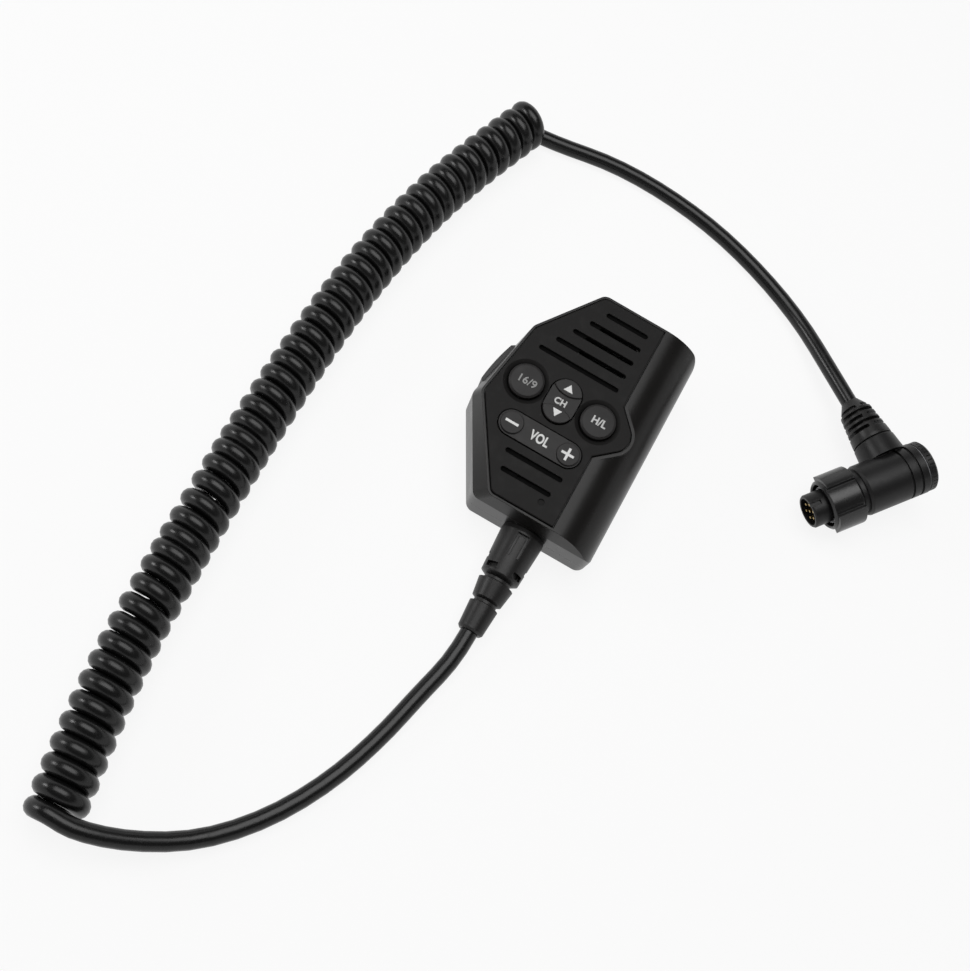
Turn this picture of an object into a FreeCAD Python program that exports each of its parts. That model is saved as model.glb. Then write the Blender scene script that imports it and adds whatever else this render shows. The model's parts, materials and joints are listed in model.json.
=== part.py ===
import FreeCAD, Part
import math
import os
import re
import Sketcher

# A marine radio's detachable hand microphone: a two-shell casing with keys and a
# push-to-talk lever, a curly cord and a right-angle locking plug.
#
# Casing pieces are drawn in the casing's own frame: the middle of the key row is
# x = 0, y = 0, +Y runs to the top end, and z rises from the flat back to the face.
# Plug pieces are drawn with +X from the nose to the rear cap and +Y along the cord.
# At the end every piece is set down on the floor, z = 0, with +Z up.

Vector = FreeCAD.Vector
X_AXIS = Vector(1, 0, 0)
Y_AXIS = Vector(0, 1, 0)
Z_AXIS = Vector(0, 0, 1)
FAR = "200"

SIZES = (
    # casing outline, seen from the face
    ("case_depth", 30.0),
    ("seam_height", 12.0),
    ("facet_start", 22.0),
    ("case_right", 39.8),
    ("case_top", 48.3),
    ("case_bottom", 47.0),
    ("brow_x", 6.2),
    ("shoulder_x", 24.6),
    ("shoulder_y", 22.0),
    ("hip_x", 31.2),
    ("hip_y", 11.6),
    ("foot_x", 11.4),
    ("face_top", 47.7),
    ("face_bottom", 45.6),
    ("face_brow_x", 5.6),
    ("face_shoulder_x", 23.7),
    ("face_shoulder_y", 21.6),
    ("face_hip_x", 28.6),
    ("face_hip_y", 11.5),
    ("face_foot_x", 7.0),
    ("corner_radius", 4.0),
    ("slope_radius", 18.0),
    ("back_radius", 3.5),
    ("wall", 2.4),
    ("face_wall", 2.2),
    ("lip_width", 1.1),
    ("lip_height", 1.2),
    ("lip_gap", 0.15),
    ("gasket_thickness", 0.8),
    ("back_pad_x", 8.0),
    ("back_pad_y", -12.0),
    ("back_pad_width", 34.0),
    ("back_pad_height", 22.0),
    ("back_pad_depth", 0.4),
    # face panel
    ("panel_thickness", 2.0),
    ("panel_recess", 1.4),
    ("panel_rim", 1.3),
    ("panel_gap", 0.4),
    ("panel_right", 21.2),
    ("panel_right_low", 19.8),
    ("bulge_top_y", 10.8),
    ("bulge_shoulder_x", 27.9),
    ("bulge_shoulder_y", 3.6),
    ("bulge_nose_x", 29.6),
    ("bulge_nose_y", 0.9),
    ("bulge_chin_x", 26.9),
    ("bulge_chin_y", 6.5),
    ("bulge_low_y", 12.9),
    ("pod_rim", 1.3),
    ("panel_edge", 0.4),
    # sound slots
    ("slot_width", 2.0),
    ("slot_depth", 1.2),
    ("slot_first_y", 15.1),
    ("slot_pitch", 6.35),
    ("slot_first_left", 18.0),
    ("slot_left_step", 4.1),
    ("slot_right", 16.6),
    ("low_slot_y", 27.3),
    ("low_slot_pitch", 7.2),
    ("low_slot_left", 9.6),
    ("low_slot_left_step", 1.9),
    ("low_slot_right", 14.6),
    ("low_slot_right_step", 1.2),
    ("dimple_x", 11.5),
    ("dimple_y", 38.5),
    ("dimple_radius", 1.3),
    # round keys
    ("key_spacing", 15.5),
    ("key_radius", 6.9),
    ("key_proud", 1.3),
    ("key_crown", 0.3),
    ("key_edge", 0.8),
    ("key_clearance", 0.3),
    ("key_travel", 1.0),
    ("dish_radius", 9.0),
    ("dish_depth", 1.0),
    ("flange_width", 1.4),
    ("flange_thickness", 1.3),
    ("flange_tab", 11.0),
    ("flange_gap", 0.1),
    ("post_radius", 2.2),
    # channel rocker
    ("rocker_half_width", 6.2),
    ("rocker_lobe", 3.0),
    ("rocker_proud", 0.3),
    ("rocker_saddle", 0.8),
    ("rocker_saddle_half", 2.6),
    ("rocker_pad_radius", 9.0),
    ("rocker_clearance", 0.45),
    ("rocker_skirt", 2.9),
    ("foot_radius", 1.8),
    ("foot_gap", 0.45),
    ("pivot_radius", 0.8),
    ("pivot_reach", 1.5),
    ("pivot_gap", 0.1),
    ("pivot_block", 1.4),
    # volume rocker
    ("volume_x", 0.4),
    ("volume_y", 17.3),
    ("volume_half_length", 17.1),
    ("volume_half_height", 5.1),
    ("volume_pad_radius", 4.5),
    # keypad sheet, board and switches
    ("board_below_face", 11.6),
    ("board_thickness", 1.6),
    ("board_margin", 5.0),
    ("board_top_y", 11.0),
    ("sheet_thickness", 1.0),
    ("sheet_left", 21.0),
    ("sheet_right", 24.0),
    ("sheet_top_y", 9.5),
    ("sheet_low_y", 24.0),
    ("dome_radius", 3.0),
    ("dome_height", 0.9),
    ("switch_radius", 2.0),
    ("switch_height", 0.7),
    ("boss_radius", 2.4),
    ("board_screw_radius", 1.0),
    ("board_side_inset", 10.2),
    ("board_side_y", 5.0),
    ("board_corner_inset", 11.8),
    ("board_corner_y", 33.0),
    ("board_foot_x", 5.6),
    ("board_foot_y", 30.8),
    # loudspeaker and microphone
    ("speaker_x", 6.0),
    ("speaker_y", 28.0),
    ("speaker_radius", 14.0),
    ("speaker_opening", 11.5),
    ("speaker_rim", 1.2),
    ("speaker_depth", 4.6),
    ("speaker_frame", 0.9),
    ("cone_hub", 4.0),
    ("cone_thickness", 0.4),
    ("magnet_radius", 7.5),
    ("magnet_height", 4.0),
    ("mesh_thickness", 0.3),
    ("speaker_fence", 1.2),
    ("speaker_fence_height", 4.0),
    ("mic_x", 3.0),
    ("mic_y", 35.2),
    ("mic_radius", 4.85),
    ("mic_height", 4.8),
    ("mic_sleeve", 1.4),
    # push-to-talk lever, measured along the left wall from its upper corner
    ("lever_start", 7.6),
    ("lever_end", 28.0),
    ("lever_proud", 1.4),
    ("lever_swell", 0.5),
    ("lever_inner", 1.8),
    ("lever_low", 7.0),
    ("lever_high", 21.0),
    ("lever_clearance", 0.6),
    ("hinge_along", 9.6),
    ("hinge_inset", 2.3),
    ("hinge_radius", 1.9),
    ("hinge_pin_radius", 1.0),
    ("hinge_pin_gap", 0.05),
    ("hinge_ear", 1.9),
    ("notch_start", 1.2),
    ("notch_depth", 0.8),
    ("grip_depth", 0.6),
    ("striker_along", 20.0),
    ("striker_length", 3.0),
    ("striker_reach", 3.4),
    ("talk_switch_gap", 1.15),
    ("talk_switch_depth", 3.5),
    ("talk_switch_length", 6.0),
    ("talk_switch_height", 3.5),
    # hang stud on the back
    ("stud_x", 4.6),
    ("stud_y", 24.0),
    ("stud_length", 7.5),
    ("stud_head_radius", 6.75),
    ("stud_head_height", 2.2),
    ("stud_neck_radius", 4.0),
    ("stud_base_radius", 7.5),
    ("stud_base_height", 1.4),
    ("stud_screw_radius", 1.6),
    ("stud_screw_head", 3.0),
    ("stud_screw_length", 9.0),
    # casing screws
    ("case_screw_radius", 1.4),
    ("case_screw_head", 2.6),
    ("case_screw_sink", 3.2),
    ("case_screw_length", 15.0),
    ("case_boss_radius", 3.6),
    ("shoulder_screw_x", 14.0),
    ("shoulder_screw_y", 26.0),
    ("side_screw_inset", 6.8),
    ("top_screw_inset", 7.1),
    ("low_screw_inset", 7.5),
    ("foot_screw_x", 8.0),
    ("foot_screw_inset", 8.5),
    # cord, strain relief and clamp
    ("cord_diameter", 6.8),
    ("cord_exit_x", 12.6),
    ("boot_bore_gap", 0.05),
    ("boot_neck_radius", 7.0),
    ("boot_neck_gap", 0.05),
    ("boot_collar_radius", 8.8),
    ("boot_collar_length", 1.8),
    ("boot_first_length", 19.5),
    ("boot_first_end", 7.7),
    ("boot_groove_radius", 5.4),
    ("boot_second_start", 22.6),
    ("boot_second_radius", 7.1),
    ("boot_second_end", 29.6),
    ("boot_second_end_radius", 6.0),
    ("boot_waist_radius", 4.6),
    ("boot_third_start", 32.0),
    ("boot_third_radius", 5.8),
    ("boot_third_end", 43.0),
    ("boot_tip_radius", 4.8),
    ("boot_flange_radius", 8.4),
    ("boot_flange_length", 2.0),
    ("boot_slot_first", 12.6),
    ("boot_slot_second", 16.4),
    ("boot_slot_width", 2.2),
    ("boot_slot_depth", 2.0),
    ("boot_slot_span", 5.2),
    ("boot_loop_length", 9.4),
    ("boot_loop_width", 4.8),
    ("boot_loop_depth", 1.3),
    ("boot_run", 11.0),
    ("clamp_from_wall", 4.6),
    ("clamp_length", 5.0),
    ("clamp_half_width", 10.0),
    ("clamp_height", 4.6),
    ("clamp_gap", 0.3),
    ("clamp_rounding", 1.0),
    ("clamp_screw_spacing", 7.0),
    ("clamp_screw_radius", 1.1),
    ("header_width", 13.0),
    ("header_length", 5.0),
    ("header_height", 5.2),
    ("header_y", 20.0),
    ("lead_radius", 0.6),
    ("lead_circle", 1.7),
    ("lead_pitch", 2.2),
    # curly part of the cord
    ("coil_diameter", 21.0),
    # plug
    ("nose_radius", 7.0),
    ("nose_length", 9.0),
    ("nose_land", 6.6),
    ("nose_step", 0.2),
    ("nose_wall", 1.3),
    ("insert_setback", 3.4),
    ("insert_length", 9.0),
    ("pin_radius", 0.5),
    ("pin_circle", 3.3),
    ("pin_length", 2.6),
    ("ring_start", 6.6),
    ("ring_length", 14.0),
    ("ring_radius", 10.4),
    ("ring_bore", 8.9),
    ("ring_back_wall", 2.6),
    ("ring_chamfer", 0.8),
    ("lobe_radius", 12.2),
    ("lobe_angle", 58.0),
    ("lobe_turn", 288.0),
    ("lobe_setback", 1.0),
    ("neck_radius", 7.7),
    ("neck_gap", 0.08),
    ("retainer_radius", 8.6),
    ("retainer_length", 1.6),
    ("ring_end_gap", 0.2),
    ("body_gap", 2.2),
    ("body_radius", 10.7),
    ("first_groove", 41.2),
    ("second_groove", 45.3),
    ("body_end", 49.2),
    ("body_chamfer", 1.2),
    ("cap_end", 53.2),
    ("cap_groove_width", 1.1),
    ("cap_groove_depth", 0.8),
    ("cap_spigot", 8.2),
    ("cap_spigot_length", 4.0),
    ("knurl_depth", 0.5),
    ("seal_section", 1.2),
    ("branch_along", 39.2),
    ("branch_root_radius", 9.6),
    ("branch_end", 17.4),
    ("branch_radius", 8.7),
    ("branch_socket", 6.4),
    ("relief_end", 37.0),
    ("relief_shoulder", 31.8),
    ("relief_shoulder_radius", 6.7),
    ("relief_tip_radius", 4.0),
    ("relief_slot_width", 1.5),
    ("relief_slot_pitch", 2.6),
    ("relief_spine", 2.2),
    ("relief_core", 4.4),
    # how the plug lies
    ("plug_nose_x", 104.4),
    ("plug_nose_y", 23.8),
    ("plug_heading", 50.5),
    ("plug_pitch", -12.0),
    ("plug_roll", 8.0),
    ("plug_run", 16.0),
)

CASE_SCREWS = (
    ("-shoulder_screw_x", "shoulder_screw_y"),
    ("case_right - side_screw_inset", "case_top - top_screw_inset"),
    ("case_right - side_screw_inset", "-case_bottom + low_screw_inset"),
    ("-foot_screw_x", "-case_bottom + foot_screw_inset"),
)
BOARD_SCREWS = (
    ("case_right - board_side_inset", "board_side_y"),
    ("case_right - board_corner_inset", "-board_corner_y"),
    ("-board_foot_x", "-board_foot_y"),
)
KNURLS = 36

# Middle line of the cord, x, y and z in the finished object's frame.
HANDSET_SIDE = (
    (3.6, -118.5, 3.5),
    (-0.9, -138.5, 3.5),
    (-8.5, -160.6, 3.5),
    (-20.6, -182.1, 3.5),
    (-37.0, -200.0, 5.2),
    (-55.6, -211.2, 11.2),
    (-72.2, -216.8, 16.6),
)
COIL = (
    (-81.4, -216.4, 10.6),
    (-91.4, -172.0, 10.6),
    (-96.0, -119.0, 10.6),
    (-99.2, -60.0, 10.6),
    (-99.6, 0.0, 10.6),
    (-95.6, 46.0, 10.6),
    (-87.0, 88.0, 10.6),
    (-75.2, 124.4, 10.6),
)
PLUG_SIDE = (
    (-77.0, 119.5, 3.5),
    (-60.3, 126.2, 3.5),
    (-36.0, 132.0, 3.5),
    (-9.0, 132.5, 3.5),
    (19.2, 128.6, 3.5),
    (46.2, 119.8, 3.5),
    (70.2, 107.2, 4.8),
)

doc = FreeCAD.newDocument("hand_microphone")
sizes = doc.addObject("Spreadsheet::Sheet", "sizes")
for row, (alias, number) in enumerate(SIZES, start=1):
    sizes.set(f"A{row}", alias)
    sizes.set(f"B{row}", str(number))
    sizes.setAlias(f"B{row}", alias)
doc.recompute()


# ---------------------------------------------------------------- helpers

def expression(text):
    """A formula in the sheet's own words, as FreeCAD wants it."""
    return re.sub(r"\b(?!deg\b)[a-z][a-z_]+\b(?!\()", r"sizes.\g<0>", str(text))


def value(text):
    """What a formula in the sheet's words comes to."""
    return float(sizes.evalExpression(expression(text)))


def bind(item, **properties):
    """Ties properties to formulas; a double underscore stands for a dot."""
    for name, text in properties.items():
        item.setExpression(name.replace("__", "."), expression(text))
    return item


PLACES = {}


def put(item, x="0", y="0", z="0"):
    """Ties the place of a tool or blank to formulas."""
    PLACES[item.Name] = (x, y, z)
    return bind(item, Placement__Base__x=x, Placement__Base__y=y, Placement__Base__z=z)


def turned(item, axis):
    """Lays a cylinder or cone, which stands on z, along another axis."""
    if axis == "x":
        item.Placement.Rotation = FreeCAD.Rotation(Y_AXIS, 90)
    elif axis == "y":
        item.Placement.Rotation = FreeCAD.Rotation(X_AXIS, -90)
    return item


def box(x, y, z, length, width, height, name="block"):
    item = bind(doc.addObject("Part::Box", name), Length=length, Width=width, Height=height)
    return put(item, x, y, z)


def cylinder(x, y, z, radius, height, axis="z", name="round"):
    item = bind(doc.addObject("Part::Cylinder", name), Radius=radius, Height=height)
    return put(turned(item, axis), x, y, z)


def cone(x, y, z, radius, end_radius, height, axis="z", name="taper"):
    item = doc.addObject("Part::Cone", name)
    bind(item, Radius1=radius, Radius2=end_radius, Height=height)
    return put(turned(item, axis), x, y, z)


def ring(x, y, z, radius, section, axis="z", name="ring"):
    item = bind(doc.addObject("Part::Torus", name), Radius1=radius, Radius2=section)
    return put(turned(item, axis), x, y, z)


def fuse(pieces, name="joined"):
    if len(pieces) == 1:
        return pieces[0]
    item = doc.addObject("Part::MultiFuse", name)
    item.Shapes = pieces
    item.Refine = True
    return item


def cut(base, tools, name="trimmed"):
    item = doc.addObject("Part::Cut", name)
    item.Base = base
    item.Tool = fuse(tools)
    item.Refine = True
    return item


def common(pieces, name="overlap"):
    item = doc.addObject("Part::MultiCommon", name)
    item.Shapes = pieces
    item.Refine = True
    return item


def fix_point(sketch, line, end, x, y):
    """Holds one end of a line or arc at a place given by formulas."""
    for kind, text in (("DistanceX", x), ("DistanceY", y)):
        number = sketch.addConstraint(Sketcher.Constraint(kind, -1, 1, line, end, value(text)))
        label = f"{kind.lower()}_{line}_{end}"
        sketch.renameConstraint(number, label)
        sketch.setExpression("Constraints." + label, expression(text))


def draw(sketch, points):
    """A closed outline. Each point is (x, y), or (x, y, x, y) for an arc's middle and its end."""
    ends = [(point[-2], point[-1]) for point in points]
    places = [Vector(value(x), value(y), 0) for x, y in ends]
    for index, point in enumerate(points):
        before = places[index - 1]
        if len(point) == 4:
            middle = Vector(value(point[0]), value(point[1]), 0)
            arc = [before, middle, places[index]]
            if (middle - before).cross(places[index] - middle).z < 0:
                arc.reverse()
            sketch.addGeometry(Part.Arc(*arc), False)
        else:
            sketch.addGeometry(Part.LineSegment(before, places[index]), False)
    for index, (x, y) in enumerate(ends):
        # Arcs are stored anticlockwise, so which end is which is looked up.
        here = end_at(sketch.Geometry[index], places[index])
        after = (index + 1) % len(points)
        there = end_at(sketch.Geometry[after], places[index])
        sketch.addConstraint(Sketcher.Constraint("Coincident", index, here, after, there))
        fix_point(sketch, index, here, x, y)
        if len(points[index]) == 4:
            sketch.addConstraint(Sketcher.Constraint("Radius", index, sketch.Geometry[index].Radius))
    return sketch


def end_at(line, place):
    return 1 if line.StartPoint.distanceToPoint(place) < 1e-6 else 2


def outline(points, name="outline"):
    return draw(doc.addObject("Sketcher::SketchObject", name), points)


def offset(sketch, distance, name="offset"):
    """The same outline, moved outwards by a distance, with sharp corners."""
    item = doc.addObject("Part::Offset2D", name)
    item.Source = sketch
    item.Join = "Intersection"
    return bind(item, Value=distance)


def rounded(sketch, distance, name="rounded"):
    """The outline moved by a distance and given round corners that shrink as it does."""
    radius = f"(corner_radius + 0.8 * ({distance}))"
    item = doc.addObject("Part::Offset2D", name)
    item.Source = offset(sketch, f"({distance}) - ({radius})", name + "_core")
    item.Join = "Arc"
    return bind(item, Value=radius)


def raise_up(sketch, start, end, name="slab"):
    """A slab with the outline of a sketch, between two heights."""
    item = doc.addObject("Part::Extrusion", name)
    item.Base = sketch
    item.DirMode = "Custom"
    item.Dir = Z_AXIS
    item.Solid = True
    bind(item, LengthFwd=f"({end}) - ({start})")
    return bind(item, Placement__Base__z=start)


def blend(lower, low_height, upper, high_height, name="facets"):
    """Flat facets between two outlines of the same number of corners."""
    put(lower, z=low_height)
    put(upper, z=high_height)
    item = doc.addObject("Part::Loft", name)
    item.Sections = [lower, upper]
    item.Solid = True
    item.Ruled = True
    return item


def stadium(x_left, x_right, y, radius, start, end, name="stadium"):
    """A slab with two straight sides and round ends, along x."""
    height = f"({end}) - ({start})"
    pieces = [
        box(x_left, f"{y} - {radius}", start, f"({x_right}) - ({x_left})", f"2 * {radius}", height),
        cylinder(x_left, y, start, radius, height),
        cylinder(x_right, y, start, radius, height),
    ]
    return fuse(pieces, name)


def soften(item, radius, wanted, name="softened"):
    """Rounds those edges of a solid that pass a test."""
    doc.recompute()
    edges = [number for number, edge in enumerate(item.Shape.Edges, start=1) if wanted(edge)]
    rounded = doc.addObject("Part::Fillet", name)
    rounded.Base = item
    rounded.Edges = [(number, value(radius), value(radius)) for number in edges]
    doc.recompute()
    return rounded


def middle_of(edge):
    return edge.valueAt((edge.FirstParameter + edge.LastParameter) / 2)


def new_body(label):
    return doc.addObject("PartDesign::Body", label)


def sketch_in(body, role, name, x="0", y="0", z="0"):
    """A sketch on one of the body's own origin planes, moved by formulas."""
    sketch = body.newObject("Sketcher::SketchObject", name)
    plane = next(item for item in body.Origin.OriginFeatures if item.Role == role)
    sketch.AttachmentSupport = (plane, [""])
    sketch.MapMode = "FlatFace"
    bind(sketch, AttachmentOffset__Base__x=x, AttachmentOffset__Base__y=y)
    return bind(sketch, AttachmentOffset__Base__z=z)


def circle(sketch, x, y, radius):
    number = sketch.addGeometry(Part.Circle(Vector(value(x), value(y), 0), Z_AXIS, value(radius)), False)
    fix_point(sketch, number, 3, x, y)
    limit = sketch.addConstraint(Sketcher.Constraint("Radius", number, value(radius)))
    label = f"radius_{number}"
    sketch.renameConstraint(limit, label)
    sketch.setExpression("Constraints." + label, expression(radius))
    return sketch


def revolve(body, sketch, axis="H_Axis", name="turning"):
    item = body.newObject("PartDesign::Revolution", name)
    item.Profile = sketch
    item.ReferenceAxis = (sketch, [axis])
    item.Angle = 360
    return item


def pad(body, sketch, length, name="pad", both_ways=False):
    item = body.newObject("PartDesign::Pad", name)
    item.Profile = sketch
    item.Midplane = both_ways
    return bind(item, Length=length)


def pocket(body, sketch, length, name="pocket", both_ways=False, reverse=False):
    item = body.newObject("PartDesign::Pocket", name)
    item.Profile = sketch
    item.Midplane = both_ways
    item.Reversed = reverse
    return bind(item, Length=length)


def around(body, feature, axis, count, name="pattern"):
    """Repeats a feature evenly round an axis of its sketch."""
    item = body.newObject("PartDesign::PolarPattern", name)
    item.Originals = [feature]
    item.Axis = axis
    item.Angle = 360
    item.Occurrences = count
    body.Tip = item
    return item


NODES = {}


def node(item, label, seat):
    """Marks a finished sub-part, with the assembly that carries it."""
    item.Label = label
    NODES[label] = (item, seat)
    return item


# ---------------------------------------------------------------- casing

FACE = "case_depth"
RECESS = "case_depth - panel_recess"
INNER_FACE = "case_depth - panel_recess - face_wall"
PANEL_TOP = "case_depth - panel_recess + panel_thickness"
BOARD_BOTTOM = "(case_depth - board_below_face)"
BOARD_TOP = BOARD_BOTTOM + " + board_thickness"
DOME_TOP = BOARD_TOP + " + sheet_thickness + dome_height"
ROCKER_FOOT = DOME_TOP + " + foot_gap"
PIVOT_LEVEL = "case_depth - panel_recess - face_wall - pivot_gap - pivot_radius"
CLAMP_MIDDLE = "-case_bottom + wall + clamp_from_wall + clamp_length / 2"

case_outline = outline((
    ("-brow_x", "case_top"),
    ("case_right", "case_top"),
    ("case_right", "-case_bottom"),
    ("-foot_x", "-case_bottom"),
    ("-hip_x", "-hip_y"),
    ("-shoulder_x", "shoulder_y"),
), "case_outline")

face_outline = outline((
    ("-face_brow_x", "face_top"),
    ("case_right", "face_top"),
    ("case_right", "-face_bottom"),
    ("-face_foot_x", "-face_bottom"),
    ("-face_hip_x", "-face_hip_y"),
    ("-face_shoulder_x", "face_shoulder_y"),
), "face_outline")

panel_side = outline((
    ("-case_right", "-case_top - 10"),
    ("-case_right", "case_top + 10"),
    ("panel_right", "case_top + 10"),
    ("panel_right", "bulge_top_y"),
    ("bulge_shoulder_x", "bulge_shoulder_y"),
    ("bulge_nose_x", "-bulge_nose_y", "bulge_chin_x", "-bulge_chin_y"),
    ("panel_right_low", "-bulge_low_y"),
    ("panel_right_low", "-case_top - 10"),
), "panel_side")

# The left wall runs from the shoulder down to the hip. Lengths along it and away
# from it place the push-to-talk lever and everything that belongs to it.
SHOULDER = Vector(-value("shoulder_x"), value("shoulder_y"), 0)
HIP = Vector(-value("hip_x"), -value("hip_y"), 0)
WALL_ANGLE = math.degrees(math.atan2(HIP.y - SHOULDER.y, HIP.x - SHOULDER.x))
WALL_FRAME = FreeCAD.Placement(SHOULDER, FreeCAD.Rotation(Z_AXIS, WALL_ANGLE))


def on_left_wall(item):
    """Moves a tool drawn along x, with +y inwards, onto the left wall."""
    place = Vector(*(value(text) for text in PLACES[item.Name]))
    for letter in "xyz":
        item.setExpression("Placement.Base." + letter, None)
    item.Placement = WALL_FRAME.multiply(FreeCAD.Placement(place, item.Placement.Rotation))
    return item


def slope_block(inset, name):
    """A bar whose right-hand upper edge is the casing's broad rounded slope."""
    bar = box("-case_right", "-case_top - 10", "-10", f"2 * case_right - {inset}",
              "2 * case_top + 20", "case_depth + 10", name)
    reach = value(f"case_right - {inset}")
    height = value("case_depth")

    def on_the_slope(edge):
        middle = middle_of(edge)
        return abs(middle.x - reach) < 1e-3 and abs(middle.z - height) < 1e-3

    return soften(bar, f"slope_radius - {inset}", on_the_slope, name + "_rounded")


def shell_form(inset, bottom, name):
    """The casing's form above a height, or the hollow inside it when there is an inset."""
    wide = [rounded(case_outline, f"-{inset}", f"{name}_wide_{part}") for part in (0, 1)]
    narrow = rounded(face_outline, f"-{inset}", name + "_narrow")
    lower = raise_up(wide[0], bottom, "facet_start", name + "_lower")
    upper = blend(wide[1], "facet_start", narrow, "case_depth", name + "_upper")
    return common([fuse([lower, upper]), slope_block(inset, name + "_slope")], name)


def screw_hole(x, y, radius, start, end):
    return cylinder(x, y, start, radius, f"({end}) - ({start})", name="screw_hole")


def lever_gap():
    """The opening in both shells that the push-to-talk lever moves in."""
    gap = box("lever_start - lever_clearance", "-6", "lever_low - lever_clearance / 2",
              "lever_end - lever_start + 2 * lever_clearance", "12",
              "lever_high - lever_low + lever_clearance", "lever_gap")
    notch = box("notch_start", "notch_depth - 6", "lever_low", "lever_start - notch_start",
                "6", "lever_high - lever_low", "finger_notch")
    return [on_left_wall(gap), on_left_wall(notch)]


def hinge_ear(bottom, top):
    """A lug inside the wall that holds one end of the lever's pin."""
    lug = box("hinge_along - 2.6", "0.3", bottom, "5.2", "hinge_inset + 1.7",
              f"({top}) - ({bottom})", "hinge_ear")
    return on_left_wall(lug)


def hinge_hole():
    hole = cylinder("hinge_along", "hinge_inset", "lever_low - lever_clearance / 2 - hinge_ear",
                    "hinge_pin_radius + hinge_pin_gap",
                    "lever_high - lever_low + lever_clearance + 2 * hinge_ear", name="hinge_hole")
    return on_left_wall(hole)


def boot_opening():
    """The round hole on the seam that the strain relief's neck sits in."""
    return cylinder("cord_exit_x", "-case_bottom - 2", "seam_height", "boot_neck_radius + boot_neck_gap",
                    "wall + 4", "y", "boot_opening")


def band(outer, inner, bottom, top, name):
    """A rim that follows the casing's outline, between two insets."""
    return cut(
        raise_up(rounded(case_outline, outer, name + "_outside"), bottom, top),
        [raise_up(rounded(case_outline, inner, name + "_inside"),
                  f"{bottom} - 1", f"{top} + 1")], name)


def bulge_slab(distance, bottom, top, name):
    """Everything left of the panel's right-hand edge and its bulge."""
    return raise_up(offset(panel_side, distance, name + "_side"), bottom, top, name)


def make_front_shell():
    form = shell_form("0", "seam_height", "front_form")
    pod = common([
        bulge_slab("panel_gap + pod_rim", "facet_start", FACE, "pod_slab"),
        box("panel_right - 6", "-bulge_low_y - 5", "facet_start", "16",
            "bulge_low_y + bulge_top_y + 9", "case_depth - facet_start", "pod_window"),
    ], "pod")
    room = common([
        shell_form("wall", "seam_height - 1", "front_hollow"),
        box("-case_right", "-case_top", "seam_height - 1", "2 * case_right", "2 * case_top",
            f"({INNER_FACE}) - seam_height + 1", "room_height"),
    ], "front_room")
    lip = band("-wall + lip_width", "-wall", "seam_height - lip_height", "seam_height + 1", "lip")
    fence = cut(
        cylinder("speaker_x", "speaker_y", f"{INNER_FACE} - speaker_fence_height",
                 "speaker_radius + 0.2 + speaker_fence", "speaker_fence_height + 0.5"),
        [cylinder("speaker_x", "speaker_y", f"{INNER_FACE} - speaker_fence_height - 1",
                  "speaker_radius + 0.2", "speaker_fence_height + 3")], "speaker_fence")
    inner = [cylinder(x, y, BOARD_TOP, "boss_radius", f"({INNER_FACE}) - ({BOARD_TOP}) + 0.5",
                      name="board_boss") for x, y in BOARD_SCREWS]
    inner += [cylinder(x, y, "seam_height", "case_boss_radius", f"({INNER_FACE}) - seam_height + 0.5",
                       name="case_post") for x, y in CASE_SCREWS]
    beside = "(rocker_clearance + 0.1 + pivot_block / 2)"
    for side in (-1, 1):
        across = f"{side} * (rocker_half_width + {beside}) - pivot_block / 2"
        along = f"-volume_y + {side} * (volume_half_height + {beside}) - pivot_block / 2"
        inner += [
            box(across, "-1.6", f"{INNER_FACE} - 2.4", "pivot_block", "3.2", "2.9", "channel_bearing"),
            box("-volume_x - 1.6", along, f"{INNER_FACE} - 2.4", "3.2", "pivot_block", "2.9",
                "volume_bearing"),
        ]
    ear = hinge_ear("lever_high + lever_clearance / 2", "lever_high + lever_clearance / 2 + hinge_ear + 0.4")
    inside = common([fuse(inner + [fence, ear]), shell_form("wall * 0.5", "seam_height", "post_limit")],
                    "inside_parts")
    shell = fuse([cut(fuse([form, pod]), [room]), inside, lip])
    panel_seat = common([
        bulge_slab("panel_gap", RECESS, "case_depth + 1", "seat_slab"),
        raise_up(rounded(face_outline, "-panel_rim + panel_gap", "seat_edge"),
                 RECESS, "case_depth + 1"),
    ], "panel_seat")
    tools = [panel_seat, hinge_hole(), boot_opening()] + lever_gap()
    tools += [channel_opening(f"{INNER_FACE} - 1", FACE), volume_opening(f"{INNER_FACE} - 1", FACE)]
    tools += [cylinder(x, "0", f"{INNER_FACE} - 1", "key_radius + key_clearance", "face_wall + 4")
              for x in ("-key_spacing", "key_spacing")]
    tools += [
        cylinder("speaker_x", "speaker_y", f"{INNER_FACE} - 1", "speaker_opening", "face_wall + 4"),
        cylinder("mic_x", "-mic_y", f"{INNER_FACE} - 1", "1.5", "face_wall + 4"),
        cylinder("-rocker_half_width - 4", "0", PIVOT_LEVEL, "pivot_radius + pivot_gap / 2",
                 "2 * rocker_half_width + 8", "x"),
        cylinder("-volume_x", "-volume_y - volume_half_height - 4", PIVOT_LEVEL,
                 "pivot_radius + pivot_gap / 2", "2 * volume_half_height + 8", "y"),
    ]
    tools += [screw_hole(x, y, "board_screw_radius", BOARD_TOP + " - 1", BOARD_TOP + " + 4")
              for x, y in BOARD_SCREWS]
    tools += [screw_hole(x, y, "case_screw_radius", "seam_height - 1",
                         "case_screw_sink + case_screw_length + 0.5") for x, y in CASE_SCREWS]
    return node(cut(shell, tools, "front_shell"), "front_shell", "handset")


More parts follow.
